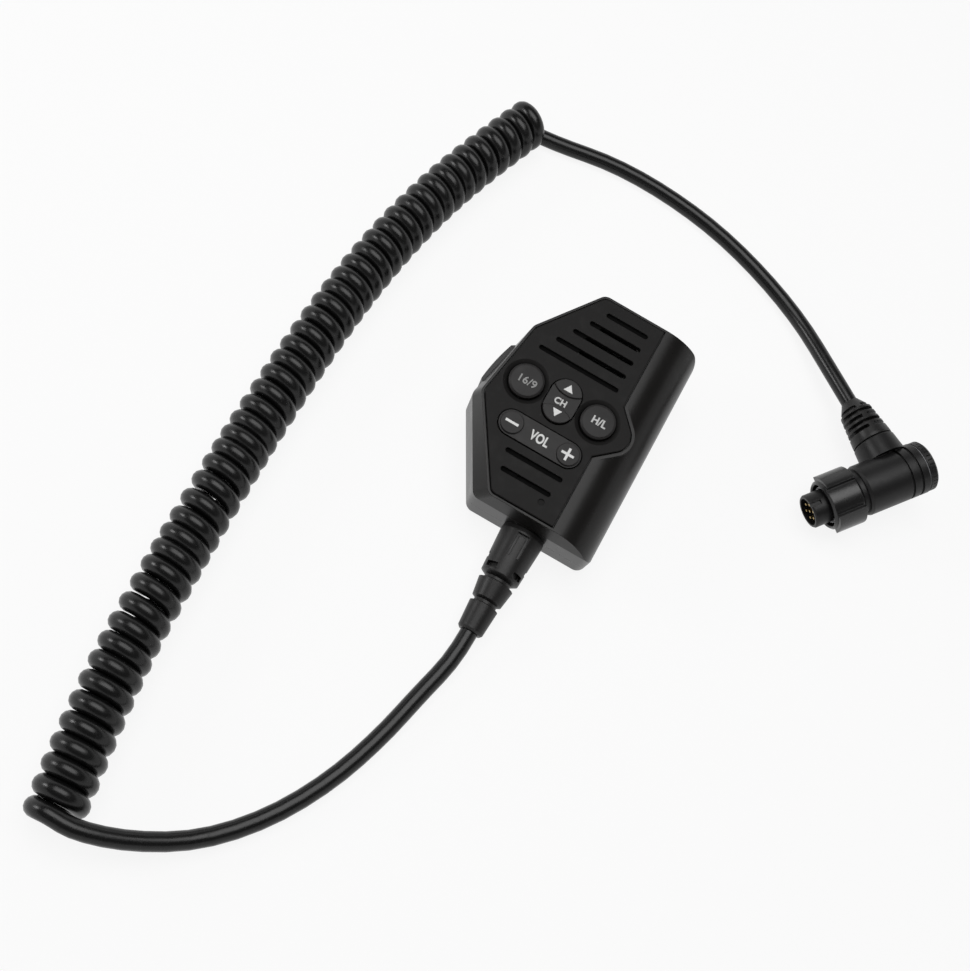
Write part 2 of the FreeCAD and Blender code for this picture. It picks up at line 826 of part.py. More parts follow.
def make_rear_shell():
    block = raise_up(rounded(case_outline, "0", "rear_outline"), "0", "seam_height")
    block = soften(block, "back_radius", on_the_back, "rear_form")
    hollow = raise_up(rounded(case_outline, "-wall", "rear_hollow_outline"), "wall", "seam_height + 1",
                      "rear_hollow")
    cradle = box("cord_exit_x - clamp_half_width", "-case_bottom + wall + clamp_from_wall", "wall - 0.5",
                 "2 * clamp_half_width", "clamp_length", "seam_height - wall + 0.5", "cord_cradle")
    posts = [cylinder(x, y, "wall - 0.5", "case_boss_radius", "seam_height - wall + 0.5", name="case_post")
             for x, y in CASE_SCREWS]
    ear = hinge_ear("lever_low - lever_clearance / 2 - hinge_ear - 0.4", "lever_low - lever_clearance / 2")
    inside = common([
        fuse(posts + [cradle, ear]),
        raise_up(rounded(case_outline, "-wall * 0.5", "rear_limit_outline"), "0.5", "seam_height",
                 "rear_limit"),
    ], "rear_inside_parts")
    boss = cylinder("stud_x", "stud_y", "wall - 0.5", "stud_screw_radius + 2.4", "5.5", name="stud_boss")
    channel = band("-wall + lip_width + lip_gap", "-wall - 0.1",
                   "seam_height - lip_height - gasket_thickness", "seam_height + 1", "lip_channel")
    tools = lever_gap() + [
        hinge_hole(),
        boot_opening(),
        channel,
        cylinder("cord_exit_x", "-case_bottom + wall + 1", "seam_height", "cord_diameter / 2 + boot_bore_gap",
                 "clamp_from_wall + clamp_length + 2", "y", "cradle_groove"),
        screw_hole("stud_x", "stud_y", "stud_screw_radius", "-1", "wall + 8"),
        box("back_pad_x - back_pad_width / 2", "back_pad_y - back_pad_height / 2", "-1", "back_pad_width",
            "back_pad_height", "1 + back_pad_depth", "back_recess"),
    ]
    tools += [screw_hole(x, y, "case_screw_radius + 0.2", "-1", "seam_height + 1") for x, y in CASE_SCREWS]
    tools += [screw_hole(x, y, "case_screw_head + 0.3", "-1", "case_screw_sink") for x, y in CASE_SCREWS]
    tools += [screw_hole(f"cord_exit_x + {side} * clamp_screw_spacing", CLAMP_MIDDLE,
                         "clamp_screw_radius", "seam_height - 6", "seam_height + 1") for side in (-1, 1)]
    return node(cut(fuse([cut(block, [hollow]), inside, boss]), tools, "rear_shell"), "rear_shell", "handset")


def on_the_back(edge):
    return edge.BoundBox.ZMax < 1e-3


def make_seam_gasket():
    """Flat rubber in the rear shell's channel, under the front shell's lip."""
    strip = band("-wall + lip_width", "-wall + 0.05", "seam_height - lip_height - gasket_thickness",
                 "seam_height - lip_height", "gasket_strip")
    return node(cut(strip, lever_gap() + [boot_opening()], "seam_gasket"), "seam_gasket", "handset")


# ---------------------------------------------------------------- face panel and keys

def channel_opening(start, end):
    return upright_stadium("rocker_half_width + rocker_clearance", start, end, "channel_opening")


def upright_stadium(radius, start, end, name):
    """A slab with round ends, along y, over the middle of the key row."""
    height = f"({end}) - ({start})"
    return fuse([
        box(f"-({radius})", "-rocker_lobe", start, f"2 * ({radius})", "2 * rocker_lobe", height),
        cylinder("0", "rocker_lobe", start, radius, height),
        cylinder("0", "-rocker_lobe", start, radius, height),
    ], name)


def volume_opening(start, end):
    return stadium("-volume_x - volume_half_length + volume_half_height",
                   "-volume_x + volume_half_length - volume_half_height", "-volume_y",
                   "(volume_half_height + rocker_clearance)", start, end, "volume_opening")


def sound_slot(left, right, y, start):
    return stadium(f"{left} + slot_width / 2", f"{right} - slot_width / 2", y, "(slot_width / 2)",
                   start, f"{PANEL_TOP} + 1", "sound_slot")


def make_face_panel():
    blank = common([
        raise_up(panel_side, RECESS, PANEL_TOP, "panel_side_slab"),
        raise_up(rounded(face_outline, "-panel_rim", "panel_outline"), RECESS, PANEL_TOP),
    ], "panel_blank")
    top = value(PANEL_TOP)
    blank = soften(blank, "panel_edge", lambda edge: abs(middle_of(edge).z - top) < 1e-3
                   and edge.BoundBox.ZLength < 1e-3, "panel_softened")
    tools = []
    for index in range(5):
        y = f"slot_first_y + {index} * slot_pitch"
        left = f"-slot_first_left + {index} * slot_left_step"
        tools.append(sound_slot(left, "slot_right", y, f"{PANEL_TOP} - slot_depth"))
    for index, left in ((1, "-4.0"), (2, "-4.2"), (3, "-1.0")):
        y = f"slot_first_y + {index} * slot_pitch"
        tools.append(sound_slot(left, "slot_right", y, f"{RECESS} - 1"))
    for index in range(2):
        y = f"-low_slot_y - {index} * low_slot_pitch"
        left = f"-low_slot_left + {index} * low_slot_left_step"
        right = f"low_slot_right - {index} * low_slot_right_step"
        tools.append(sound_slot(left, right, y, f"{PANEL_TOP} - slot_depth"))
    tools.append(sound_slot("mic_x - 4", "mic_x + 4", "-low_slot_y - low_slot_pitch", f"{RECESS} - 1"))
    tools.append(cylinder("dimple_x", "-dimple_y", f"{PANEL_TOP} - 0.5", "dimple_radius", "2", name="dimple"))
    for x in ("-key_spacing", "key_spacing"):
        tools.append(cylinder(x, "0", f"{RECESS} - 1", "key_radius + key_clearance", "panel_thickness + 3"))
        tools.append(cone(x, "0", f"{PANEL_TOP} - dish_depth", "key_radius + key_clearance",
                          "dish_radius", "dish_depth + 0.001", name="key_dish"))
    tools.append(channel_opening(f"{RECESS} - 1", f"{PANEL_TOP} + 1"))
    tools.append(volume_opening(f"{RECESS} - 1", f"{PANEL_TOP} + 1"))
    return node(cut(blank, tools, "face_panel"), "face_panel", "handset")


KEY_TOP = f"{PANEL_TOP} + key_proud"
FLANGE_TOP = f"{INNER_FACE} - flange_gap"


def make_round_key(label, x):
    """A crowned cap with a post; two tabs under the casing's face keep it in."""
    body = new_body(label)
    profile = sketch_in(body, "XZ_Plane", label + "_profile", x=x)
    draw(profile, (
        ("0", f"{DOME_TOP} + key_travel + 0.2"),
        ("post_radius", f"{DOME_TOP} + key_travel + 0.2"),
        ("post_radius", f"{FLANGE_TOP} - flange_thickness"),
        ("key_radius + flange_width", f"{FLANGE_TOP} - flange_thickness"),
        ("key_radius + flange_width", FLANGE_TOP),
        ("key_radius", FLANGE_TOP),
        ("key_radius", f"{KEY_TOP} - key_edge"),
        ("key_radius - key_edge", f"{KEY_TOP} - key_crown"),
        ("0", KEY_TOP),
    ))
    revolve(body, profile, "V_Axis")
    for side in (-1, 1):
        trim = sketch_in(body, "XY_Plane", f"{label}_tab_{side}", x=x)
        near, far = f"{side} * flange_tab / 2", f"{side} * (key_radius + 4)"
        low, high = "-key_radius - 4", "key_radius + 4"
        draw(trim, ((near, low), (far, low), (far, high), (near, high)))
        bind(trim, AttachmentOffset__Base__z=FLANGE_TOP + " - flange_thickness - 0.01")
        pocket(body, trim, "flange_thickness + 0.02", f"tab_trim_{side}", reverse=True)
    return node(body, label, "handset")


def make_channel_rocker():
    """A two-ended rocker with raised pads and a low saddle between them."""
    pads = common([
        upright_stadium("rocker_half_width", f"{PANEL_TOP} - 0.5", f"{PANEL_TOP} + rocker_proud"
                        " + rocker_saddle", "pad_form"),
        fuse([cylinder("0", f"{side} * (rocker_saddle_half + rocker_pad_radius)", f"{PANEL_TOP} - 0.5",
                       "rocker_pad_radius", "4") for side in (-1, 1)]),
    ], "pads")
    pads = soften(pads, "0.35", lambda edge: abs(middle_of(edge).z - value(
        f"{PANEL_TOP} + rocker_proud + rocker_saddle")) < 1e-3, "soft_pads")
    stem = upright_stadium("rocker_half_width", f"{INNER_FACE} - rocker_skirt",
                           f"{PANEL_TOP} + rocker_proud", "rocker_stem")
    pin = cylinder("-rocker_half_width - pivot_reach", "0", PIVOT_LEVEL,
                   "pivot_radius", "2 * rocker_half_width + 2 * pivot_reach", "x", "rocker_pin")
    feet = [cylinder("0", f"{side} * (rocker_lobe + 2.5)", ROCKER_FOOT, "foot_radius",
                     f"{INNER_FACE} - rocker_skirt - ({ROCKER_FOOT})", name="foot") for side in (-1, 1)]
    return node(fuse([stem, pads, pin] + feet, "channel_rocker"), "channel_rocker", "handset")


def make_volume_rocker():
    """A long rocker with a round pad at each end."""
    left = "-volume_x - volume_half_length + volume_half_height"
    right = "-volume_x + volume_half_length - volume_half_height"
    stem = stadium(left, right, "-volume_y", "volume_half_height", f"{INNER_FACE} - rocker_skirt",
                   f"{PANEL_TOP} + rocker_proud", "volume_stem")
    pads = fuse([cylinder(x, "-volume_y", f"{PANEL_TOP}", "volume_pad_radius",
                          "rocker_proud + rocker_saddle") for x in (left, right)])
    pads = soften(pads, "0.35", lambda edge: abs(middle_of(edge).z - value(
        f"{PANEL_TOP} + rocker_proud + rocker_saddle")) < 1e-3, "soft_volume_pads")
    pin = cylinder("-volume_x", "-volume_y - volume_half_height - pivot_reach",
                   PIVOT_LEVEL, "pivot_radius", "2 * volume_half_height + 2 * pivot_reach", "y", "volume_pin")
    reach = f"{INNER_FACE} - rocker_skirt - ({ROCKER_FOOT}) - 0.3"
    feet = [cylinder(x, "-volume_y", f"{ROCKER_FOOT} + 0.3", "foot_radius", reach, name="foot")
            for x in (left, right)]
    return node(fuse([stem, pads, pin] + feet, "volume_rocker"), "volume_rocker", "handset")


PRESS_POINTS = (
    ("-key_spacing", "0"),
    ("key_spacing", "0"),
    ("0", "rocker_lobe + 2.5"),
    ("0", "-rocker_lobe - 2.5"),
    ("-volume_x - volume_half_length + volume_half_height", "-volume_y"),
    ("-volume_x + volume_half_length - volume_half_height", "-volume_y"),
)


def make_keypad_sheet():
    """A silicone sheet on the board with a raised dome under each pressing point."""
    base = outline((
        ("-sheet_left", "sheet_top_y"),
        ("sheet_right", "sheet_top_y"),
        ("sheet_right", "-sheet_top_y"),
        ("sheet_right - 5", "-sheet_low_y"),
        ("-sheet_left + 4", "-sheet_low_y"),
        ("-sheet_left", "-sheet_top_y"),
    ), "keypad_outline")
    flat = raise_up(base, BOARD_TOP, f"{BOARD_TOP} + sheet_thickness", "keypad_flat")
    domes = [cone(x, y, f"{BOARD_TOP} + sheet_thickness", "dome_radius", "dome_radius - 0.7", "dome_height",
                  name="dome") for x, y in PRESS_POINTS]
    wells = [cylinder(x, y, f"{BOARD_TOP} - 1", "switch_radius + 0.3", "switch_height + 1.2", name="well")
             for x, y in PRESS_POINTS]
    return node(cut(fuse([flat] + domes), wells, "keypad_sheet"), "keypad_sheet", "handset")


def make_circuit_board():
    slab = common([
        raise_up(offset(case_outline, "-board_margin", "board_outline"), BOARD_BOTTOM, BOARD_TOP),
        box("-case_right", "-case_top", BOARD_BOTTOM, "2 * case_right", "case_top + board_top_y",
            "board_thickness", "board_window"),
    ], "board_blank")
    holes = [screw_hole(x, y, "board_screw_radius + 0.3", f"{BOARD_BOTTOM} - 1", f"{BOARD_TOP} + 1")
             for x, y in BOARD_SCREWS]
    holes += [screw_hole(x, y, "case_boss_radius + 0.5", f"{BOARD_BOTTOM} - 1", f"{BOARD_TOP} + 1")
              for x, y in CASE_SCREWS]
    return node(cut(slab, holes, "circuit_board"), "circuit_board", "handset")


def make_key_switches():
    """Six flat snap-dome switches on the board."""
    switches = [cylinder(x, y, BOARD_TOP, "switch_radius", "switch_height", name="snap_dome")
                for x, y in PRESS_POINTS]
    return node(fuse(switches, "key_switches"), "key_switches", "handset")


# ---------------------------------------------------------------- sound parts

SPEAKER_FRONT = f"{INNER_FACE} - mesh_thickness - 0.1"


def make_speaker():
    """A frame, a shallow cone and a magnet, one behind the other."""
    frame = new_body("speaker_frame")
    profile = sketch_in(frame, "XZ_Plane", "speaker_frame_profile", x="speaker_x", z="-speaker_y")
    back = f"{SPEAKER_FRONT} - speaker_depth"
    draw(profile, (
        ("speaker_radius - 2", f"{SPEAKER_FRONT} - speaker_rim"),
        ("speaker_radius - 2", SPEAKER_FRONT),
        ("speaker_radius", SPEAKER_FRONT),
        ("speaker_radius", f"{SPEAKER_FRONT} - speaker_rim"),
        ("magnet_radius + 0.5", back),
        ("cone_hub + 0.6", back),
        ("cone_hub + 0.6", f"{back} + speaker_frame"),
        ("magnet_radius", f"{back} + speaker_frame"),
    ))
    revolve(frame, profile, "V_Axis")
    node(frame, "speaker_frame", "handset")

    paper = new_body("speaker_cone")
    profile = sketch_in(paper, "XZ_Plane", "speaker_cone_profile", x="speaker_x", z="-speaker_y")
    hub = f"{back} + speaker_frame + 1.2"
    draw(profile, (
        ("0", hub),
        ("cone_hub", hub),
        ("speaker_radius - 2.2", f"{SPEAKER_FRONT} - 0.9"),
        ("speaker_radius - 2.2", f"{SPEAKER_FRONT} - 0.9 + cone_thickness"),
        ("cone_hub", f"{hub} + cone_thickness"),
        ("0", f"{hub} + cone_thickness + 0.8"),
    ))
    revolve(paper, profile, "V_Axis")
    node(paper, "speaker_cone", "handset")

    magnet = fuse([
        cylinder("speaker_x", "speaker_y", f"{back} - magnet_height", "magnet_radius", "magnet_height"),
        cylinder("speaker_x", "speaker_y", f"{back}", "cone_hub - 0.6", "speaker_frame + 0.9"),
    ], "speaker_magnet")
    node(magnet, "speaker_magnet", "handset")

    mesh = cylinder("speaker_x", "speaker_y", f"{INNER_FACE} - mesh_thickness", "speaker_radius - 0.4",
                    "mesh_thickness", name="speaker_mesh")
    node(mesh, "speaker_mesh", "handset")


def make_microphone():
    top = f"{INNER_FACE} - 0.2"
    capsule = cylinder("mic_x", "-mic_y", f"{top} - mic_height", "mic_radius", "mic_height - 0.3",
                       name="microphone_capsule")
    node(capsule, "microphone_capsule", "handset")
    sleeve = cut(
        cylinder("mic_x", "-mic_y", BOARD_TOP, "mic_radius + mic_sleeve", f"{INNER_FACE} - ({BOARD_TOP})"),
        [cylinder("mic_x", "-mic_y", f"{top} - mic_height - 0.02", "mic_radius + 0.03", "mic_height - 0.26"),
         cylinder("mic_x", "-mic_y", BOARD_TOP + " - 1", "2.0", "case_depth")], "microphone_sleeve")
    node(sleeve, "microphone_sleeve", "handset")


# ---------------------------------------------------------------- push-to-talk lever

def make_lever():
    """A swelled lever on the left wall, hinged at its upper end."""
    body = new_body("talk_lever")
    side = sketch_in(body, "XY_Plane", "lever_side", z="lever_low")
    draw(side, (
        ("lever_start", "lever_inner"),
        ("lever_start", "-0.2"),
        ("lever_start + 1.2", "-lever_proud"),
        ("(lever_start + lever_end) / 2", "-lever_proud - lever_swell", "lever_end - 1.2", "-lever_proud"),
        ("lever_end", "-0.2"),
        ("lever_end", "lever_inner"),
    ))
    pad(body, side, "lever_high - lever_low", "lever_plate")
    barrel = sketch_in(body, "XY_Plane", "barrel", z="lever_low")
    circle(barrel, "hinge_along", "hinge_inset", "hinge_radius")
    pad(body, barrel, "lever_high - lever_low", "hinge_barrel")
    striker = sketch_in(body, "XY_Plane", "striker", z=f"{BOARD_BOTTOM} - talk_switch_height")
    draw(striker, (
        ("striker_along", "lever_inner - 0.5"),
        ("striker_along", "striker_reach"),
        ("striker_along + striker_length", "striker_reach"),
        ("striker_along + striker_length", "lever_inner - 0.5"),
    ))
    pad(body, striker, "talk_switch_height", "striker_rib")
    bore = sketch_in(body, "XY_Plane", "bore", z="lever_low - 1")
    circle(bore, "hinge_along", "hinge_inset", "hinge_pin_radius + hinge_pin_gap")
    pocket(body, bore, "lever_high - lever_low + 2", "pin_bore", reverse=True)
    grip = sketch_in(body, "XY_Plane", "grip_groove", z="lever_low + 2")
    draw(grip, (
        ("lever_start + 5", "-lever_proud - lever_swell + grip_depth"),
        ("lever_start + 5", "-lever_proud - 3"),
        ("lever_start + 6", "-lever_proud - 3"),
        ("lever_start + 6", "-lever_proud - lever_swell + grip_depth"),
    ))
    groove = pocket(body, grip, "lever_high - lever_low - 4", "grip_line", reverse=True)
    rows = body.newObject("PartDesign::LinearPattern", "grip_lines")
    rows.Originals = [groove]
    rows.Direction = (grip, ["H_Axis"])
    bind(rows, Length="lever_end - lever_start - 11")
    rows.Occurrences = 5
    body.Tip = rows
    node(body, "talk_lever", "left_wall")

    pin = cylinder("hinge_along", "hinge_inset", "lever_low - lever_clearance / 2 - hinge_ear",
                   "hinge_pin_radius", "lever_high - lever_low + lever_clearance + 2 * hinge_ear")
    node(pin, "talk_lever_pin", "left_wall")

    face = "striker_reach + talk_switch_gap"
    switch = fuse([
        box("striker_along + striker_length / 2 - talk_switch_length / 2", f"{face} + 0.9",
            f"{BOARD_BOTTOM} - talk_switch_height", "talk_switch_length", "talk_switch_depth",
            "talk_switch_height"),
        cylinder("striker_along + striker_length / 2", face, f"{BOARD_BOTTOM} - talk_switch_height / 2",
                 "0.9", "1.0", "y", "plunger"),
    ])
    node(switch, "talk_switch", "left_wall")


# ---------------------------------------------------------------- back of the casing

def make_hang_stud():
    body = new_body("hang_stud")
    profile = sketch_in(body, "XZ_Plane", "stud_profile", x="stud_x", z="-stud_y")
    draw(profile, (
        ("stud_screw_radius", "0"),
        ("stud_base_radius", "0"),
        ("stud_base_radius - 0.6", "-stud_base_height"),
        ("stud_neck_radius", "-stud_base_height - 0.4"),
        ("stud_neck_radius", "-stud_length + stud_head_height"),
        ("stud_head_radius - 0.5", "-stud_length + stud_head_height"),
        ("stud_head_radius", "-stud_length + stud_head_height - 0.6"),
        ("stud_head_radius", "-stud_length + 0.5"),
        ("stud_head_radius - 0.5", "-stud_length"),
        ("stud_screw_head + 0.2", "-stud_length"),
        ("stud_screw_head + 0.2", "-stud_length + 2.0"),
        ("stud_screw_radius", "-stud_length + 2.0"),
    ))
    revolve(body, profile, "V_Axis")
    node(body, "hang_stud", "handset")
    screw = fuse([
        cylinder("stud_x", "stud_y", "-stud_length + 0.4", "stud_screw_head", "1.6"),
        cylinder("stud_x", "stud_y", "-stud_length + 1.9", "stud_screw_radius - 0.05", "stud_screw_length"),
    ])
    arms = [box("stud_x - 2.4", "stud_y - 0.4", "-stud_length", "4.8", "0.8", "1.2"),
            box("stud_x - 0.4", "stud_y - 2.4", "-stud_length", "0.8", "4.8", "1.2")]
    node(cut(screw, arms, "stud_screw"), "stud_screw", "handset")


def cross_screw(x, y, start, radius, head, length, head_height="1.8"):
    """A screw driven upwards, its head at the low end, with a cross recess."""
    form = fuse([cylinder(x, y, start, head, head_height),
                 cylinder(x, y, f"{start} + {head_height} - 0.1", radius, length)])
    arms = [box(f"{x} - 1.5", f"{y} - 0.3", f"{start} - 0.2", "3.0", "0.6", "1.1"),
            box(f"{x} - 0.3", f"{y} - 1.5", f"{start} - 0.2", "0.6", "3.0", "1.1")]
    return cut(form, arms, "screw")


def make_screws():
    case = [cross_screw(x, y, "case_screw_sink - 1.8", "case_screw_radius - 0.05", "case_screw_head",
                        "case_screw_length") for x, y in CASE_SCREWS]
    node(fuse(case, "case_screws"), "case_screws", "handset")
    board = [cross_screw(x, y, f"{BOARD_BOTTOM} - 1.3", "board_screw_radius - 0.05", "1.9", "5.0", "1.3")
             for x, y in BOARD_SCREWS]
    node(fuse(board, "board_screws"), "board_screws", "handset")


# ---------------------------------------------------------------- cord entry

def make_cord_boot():
    """A strain relief of three beads with bending slots, clipped into the casing's end."""
    body = new_body("cord_boot")
    profile = sketch_in(body, "XY_Plane", "boot_profile")
    bore = "cord_diameter / 2 + boot_bore_gap"
    draw(profile, (
        ("-wall - boot_flange_length", bore),
        ("-wall - boot_flange_length", "boot_flange_radius"),
        ("-wall - 0.05", "boot_flange_radius"),
        ("-wall - 0.05", "boot_neck_radius"),
        ("0.05", "boot_neck_radius"),
        ("0.05", "boot_collar_radius - 0.3"),
        ("boot_collar_length", "boot_collar_radius"),
        ("boot_first_length", "boot_first_end"),
        ("boot_first_length + 1.4", "boot_groove_radius"),
        ("boot_second_start - 0.6", "boot_groove_radius"),
        ("boot_second_start", "boot_second_radius"),
        ("boot_second_end", "boot_second_end_radius"),
        ("boot_second_end + 0.8", "boot_waist_radius"),
        ("boot_third_start - 0.4", "boot_waist_radius"),
        ("boot_third_start", "boot_third_radius"),
        ("boot_third_end - 0.8", "boot_tip_radius + 0.3"),
        ("boot_third_end", "boot_tip_radius - 0.4"),
        ("boot_third_end", bore),
    ))
    revolve(body, profile, "H_Axis", "beads")
    for along, angles in (("boot_slot_first", (0, 180)), ("boot_slot_second", (45, 135, 225, 315))):
        for angle in angles:
            slot = sketch_in(body, "XY_Plane", f"slot_{along}_{angle}")
            slot.AttachmentOffset = FreeCAD.Placement(Vector(), FreeCAD.Rotation(X_AXIS, angle))
            low, high = "boot_first_end - boot_slot_depth", "boot_collar_radius + 1"
            draw(slot, ((along, low), (along, high), (f"{along} + boot_slot_width", high),
                        (f"{along} + boot_slot_width", low)))
            pocket(body, slot, "boot_slot_span", f"bend_slot_{along}_{angle}", both_ways=True)
    loop = sketch_in(body, "XY_Plane", "front_loop", z="boot_collar_radius - boot_loop_depth")
    near, far = "boot_collar_length + 0.8", "boot_collar_length + 0.8 + boot_loop_length"
    half, core = "boot_loop_width / 2", "boot_loop_width / 2 - 1.0"
    draw(loop, ((near, f"-{half}"), (far, f"-{half}"), (far, f"-({core})"), (f"{near} + 1.0", f"-({core})"),
                (f"{near} + 1.0", core), (far, core), (far, half), (near, half)))
    pocket(body, loop, "3", "front_loop_groove", reverse=True)
    node(body, "cord_boot", "cord_exit")
    inner = cylinder("-wall - clamp_from_wall - clamp_length - 1.4", "0", "0", "cord_diameter / 2",
                     "wall + clamp_from_wall + clamp_length + 1.4 + boot_third_end", "x")
    node(inner, "cord_end_in_boot", "cord_exit")


def make_clamp():
    """A bar over the cord, screwed down on the rear shell's cradle."""
    y = "-case_bottom + wall + clamp_from_wall"
    bar = box("cord_exit_x - clamp_half_width + 0.2", y, "seam_height + clamp_gap",
              "2 * clamp_half_width - 0.4", "clamp_length", "clamp_height")
    top = value("seam_height + clamp_gap + clamp_height")
    bar = soften(bar, "clamp_rounding", lambda edge: abs(middle_of(edge).z - top) < 1e-3
                 and edge.BoundBox.YLength > 1, "clamp_bar")
    holes = [screw_hole(f"cord_exit_x + {side} * clamp_screw_spacing", CLAMP_MIDDLE,
                        "clamp_screw_radius + 0.2", "seam_height - 1", "seam_height + 8") for side in (-1, 1)]
    groove = cylinder("cord_exit_x", f"{y} - 1", "seam_height", "cord_diameter / 2 + boot_bore_gap",
                      "clamp_length + 2", "y")
    node(cut(bar, holes + [groove], "cord_clamp"), "cord_clamp", "handset")
    screws = []
    for side in (-1, 1):
        x = f"cord_exit_x + {side} * clamp_screw_spacing"
        top_face = "seam_height + clamp_gap + clamp_height"
        form = fuse([cylinder(x, CLAMP_MIDDLE, top_face, "2.0", "1.0"),
                     cylinder(x, CLAMP_MIDDLE, f"{top_face} - clamp_height - 5", "clamp_screw_radius - 0.05",
                              "clamp_height + 5.1")])
        slot = box(f"{x} - 2.5", f"{CLAMP_MIDDLE} - 0.25", f"{top_face} + 0.5", "5", "0.5", "1")
        screws.append(cut(form, [slot]))
    node(fuse(screws, "clamp_screws"), "clamp_screws", "handset")


def make_leads():
    """A header on the board's underside, its plug, and the leads from the cord."""
    header = cut(
        box("cord_exit_x - header_width / 2", "-header_y - header_length / 2",
            f"{BOARD_BOTTOM} - header_height", "header_width", "header_length", "header_height"),
        [box("cord_exit_x - header_width / 2 + 0.8", "-header_y - header_length / 2 - 1",
             f"{BOARD_BOTTOM} - header_height + 0.8", "header_width - 1.6", "header_length",
             "header_height - 1.6")], "board_header")
    node(header, "board_header", "handset")
    mate = box("cord_exit_x - header_width / 2 + 0.9", "-header_y - header_length / 2 - 3.4",
               f"{BOARD_BOTTOM} - header_height + 0.9", "header_width - 1.8", "header_length + 2.2",
               "header_height - 1.8")
    node(mate, "header_plug", "handset")
    low = value("-case_bottom + wall + clamp_from_wall + clamp_length + 1.4") + 0.02
    high = value("-header_y - header_length / 2 - 3.4") - 0.02
    middle = (low + high) / 2
    level = value(f"{BOARD_BOTTOM} - header_height / 2")
    strands = []
    for index in range(-2, 3):
        turn = math.radians(72 * index)
        start = Vector(value("cord_exit_x") + value("lead_circle") * math.sin(turn), low,
                       value("seam_height") + value("lead_circle") * math.cos(turn))
        end = Vector(value("cord_exit_x") + value("lead_pitch") * index, high, level)
        bends = [Vector(start.x, middle, start.z), Vector(end.x, middle + 1.0, end.z)]
        strands.append(tube([start] + bends + [end], value("lead_radius"), 0.3))
    leads = doc.addObject("Part::Feature", "inner_leads")
    leads.Shape = Part.makeCompound(strands)
    node(leads, "inner_leads", "handset")


# ---------------------------------------------------------------- plug

NOSE_TAIL = "nose_radius - nose_step"


def make_plug():
    """The barrel with its neck and its side branch for the cord."""
    body = new_body("plug_body")
    profile = sketch_in(body, "XY_Plane", "barrel_profile")
    groove = "body_radius - cap_groove_depth"
    draw(profile, (
        ("nose_length", f"{NOSE_TAIL} + 0.03"),
        ("nose_length", "neck_radius"),
        (f"{RETAINER_BACK} - retainer_length", "neck_radius"),
        (f"{RETAINER_BACK} - retainer_length", "retainer_radius"),
        (RETAINER_BACK, "retainer_radius"),
        (RETAINER_BACK, "neck_radius"),
        ("ring_start + ring_length + ring_end_gap", "neck_radius"),
        ("ring_start + ring_length + ring_end_gap", "body_radius - 1.4"),
        (BODY_START, "body_radius - 1.4"),
        (BODY_START, "body_radius - body_chamfer / 2"),
        (f"{BODY_START} + body_chamfer", "body_radius"),
        ("first_groove", "body_radius"),
        ("first_groove", groove),
        ("first_groove + cap_groove_width", groove),
        ("first_groove + cap_groove_width", "body_radius"),
        ("second_groove", "body_radius"),
        ("second_groove", groove),
        ("second_groove + cap_groove_width", groove),
        ("second_groove + cap_groove_width", "body_radius"),
        ("body_end", "body_radius"),
        ("body_end", "cap_spigot + 0.05"),
        ("body_end - cap_spigot_length - 0.2", "cap_spigot + 0.05"),
        ("body_end - cap_spigot_length - 0.2", f"{NOSE_TAIL} + 0.03"),
    ))
    revolve(body, profile, "H_Axis", "barrel")
    side = sketch_in(body, "XY_Plane", "branch_profile", x="branch_along")
    draw(side, (
        ("0", "cap_spigot + 0.3"),
        ("0", "branch_end"),
        ("-branch_radius + 0.8", "branch_end"),
        ("-branch_radius", "branch_end - 0.8"),
        ("-branch_root_radius", "cap_spigot + 0.3"),
    ))
    revolve(body, side, "V_Axis", "branch")
    socket = sketch_in(body, "XZ_Plane", "branch_socket", z="-branch_end - 1")
    circle(socket, "branch_along", "0", "branch_socket")
    pocket(body, socket, "branch_end + 3 - nose_radius", "branch_bore", reverse=True)
    end = sketch_in(body, "YZ_Plane", "rear_trim", z="body_end")
    circle(end, "0", "0", "body_radius + 20")
    pocket(body, end, "10", "rear_face", reverse=True)
    node(body, "plug_body", "plug")

    nose = new_body("plug_nose")
    profile = sketch_in(nose, "XY_Plane", "nose_profile")
    draw(profile, (
        ("0", "nose_radius - nose_wall"),
        ("0", "nose_radius - 0.5"),
        ("0.6", "nose_radius"),
        ("nose_land", "nose_radius"),
        ("nose_land", NOSE_TAIL),
        ("nose_length + 5", NOSE_TAIL),
        ("nose_length + 5", "nose_radius - nose_wall"),
    ))
    revolve(nose, profile, "H_Axis", "nose_tube")
    key = sketch_in(nose, "XY_Plane", "keyway", z="nose_radius - 0.7")
    draw(key, (("-1", "-0.9"), ("4.4", "-0.9"), ("4.4", "0.9"), ("-1", "0.9")))
    pocket(nose, key, "3", "key_slot", reverse=True)
    node(nose, "plug_nose", "plug")

    pins = [("0", "0")] + [(f"pin_circle * {math.cos(math.radians(60 * i)):.6f}",
                            f"pin_circle * {math.sin(math.radians(60 * i)):.6f}") for i in range(6)]
    insert = cut(cylinder("insert_setback", "0", "0", "nose_radius - nose_wall - 0.03", "insert_length", "x"),
                 [cylinder("insert_setback - 1", y, z, "pin_radius", "insert_length + 2", "x")
                  for y, z in pins], "contact_insert")
    node(insert, "contact_insert", "plug")
    contacts = fuse([cylinder("insert_setback - pin_length", y, z, "pin_radius - 0.01",
                              "insert_length + pin_length + 2", "x") for y, z in pins], "contact_pins")
    node(contacts, "contact_pins", "plug")
    seal = ring("nose_length - seal_section / 2", "0", "0", f"{NOSE_TAIL} + seal_section / 2",
                "seal_section / 2", "x")
    node(seal, "nose_seal", "plug")


RETAINER_BACK = "ring_start + ring_length - ring_back_wall - ring_end_gap"
BODY_START = "ring_start + ring_length + body_gap"


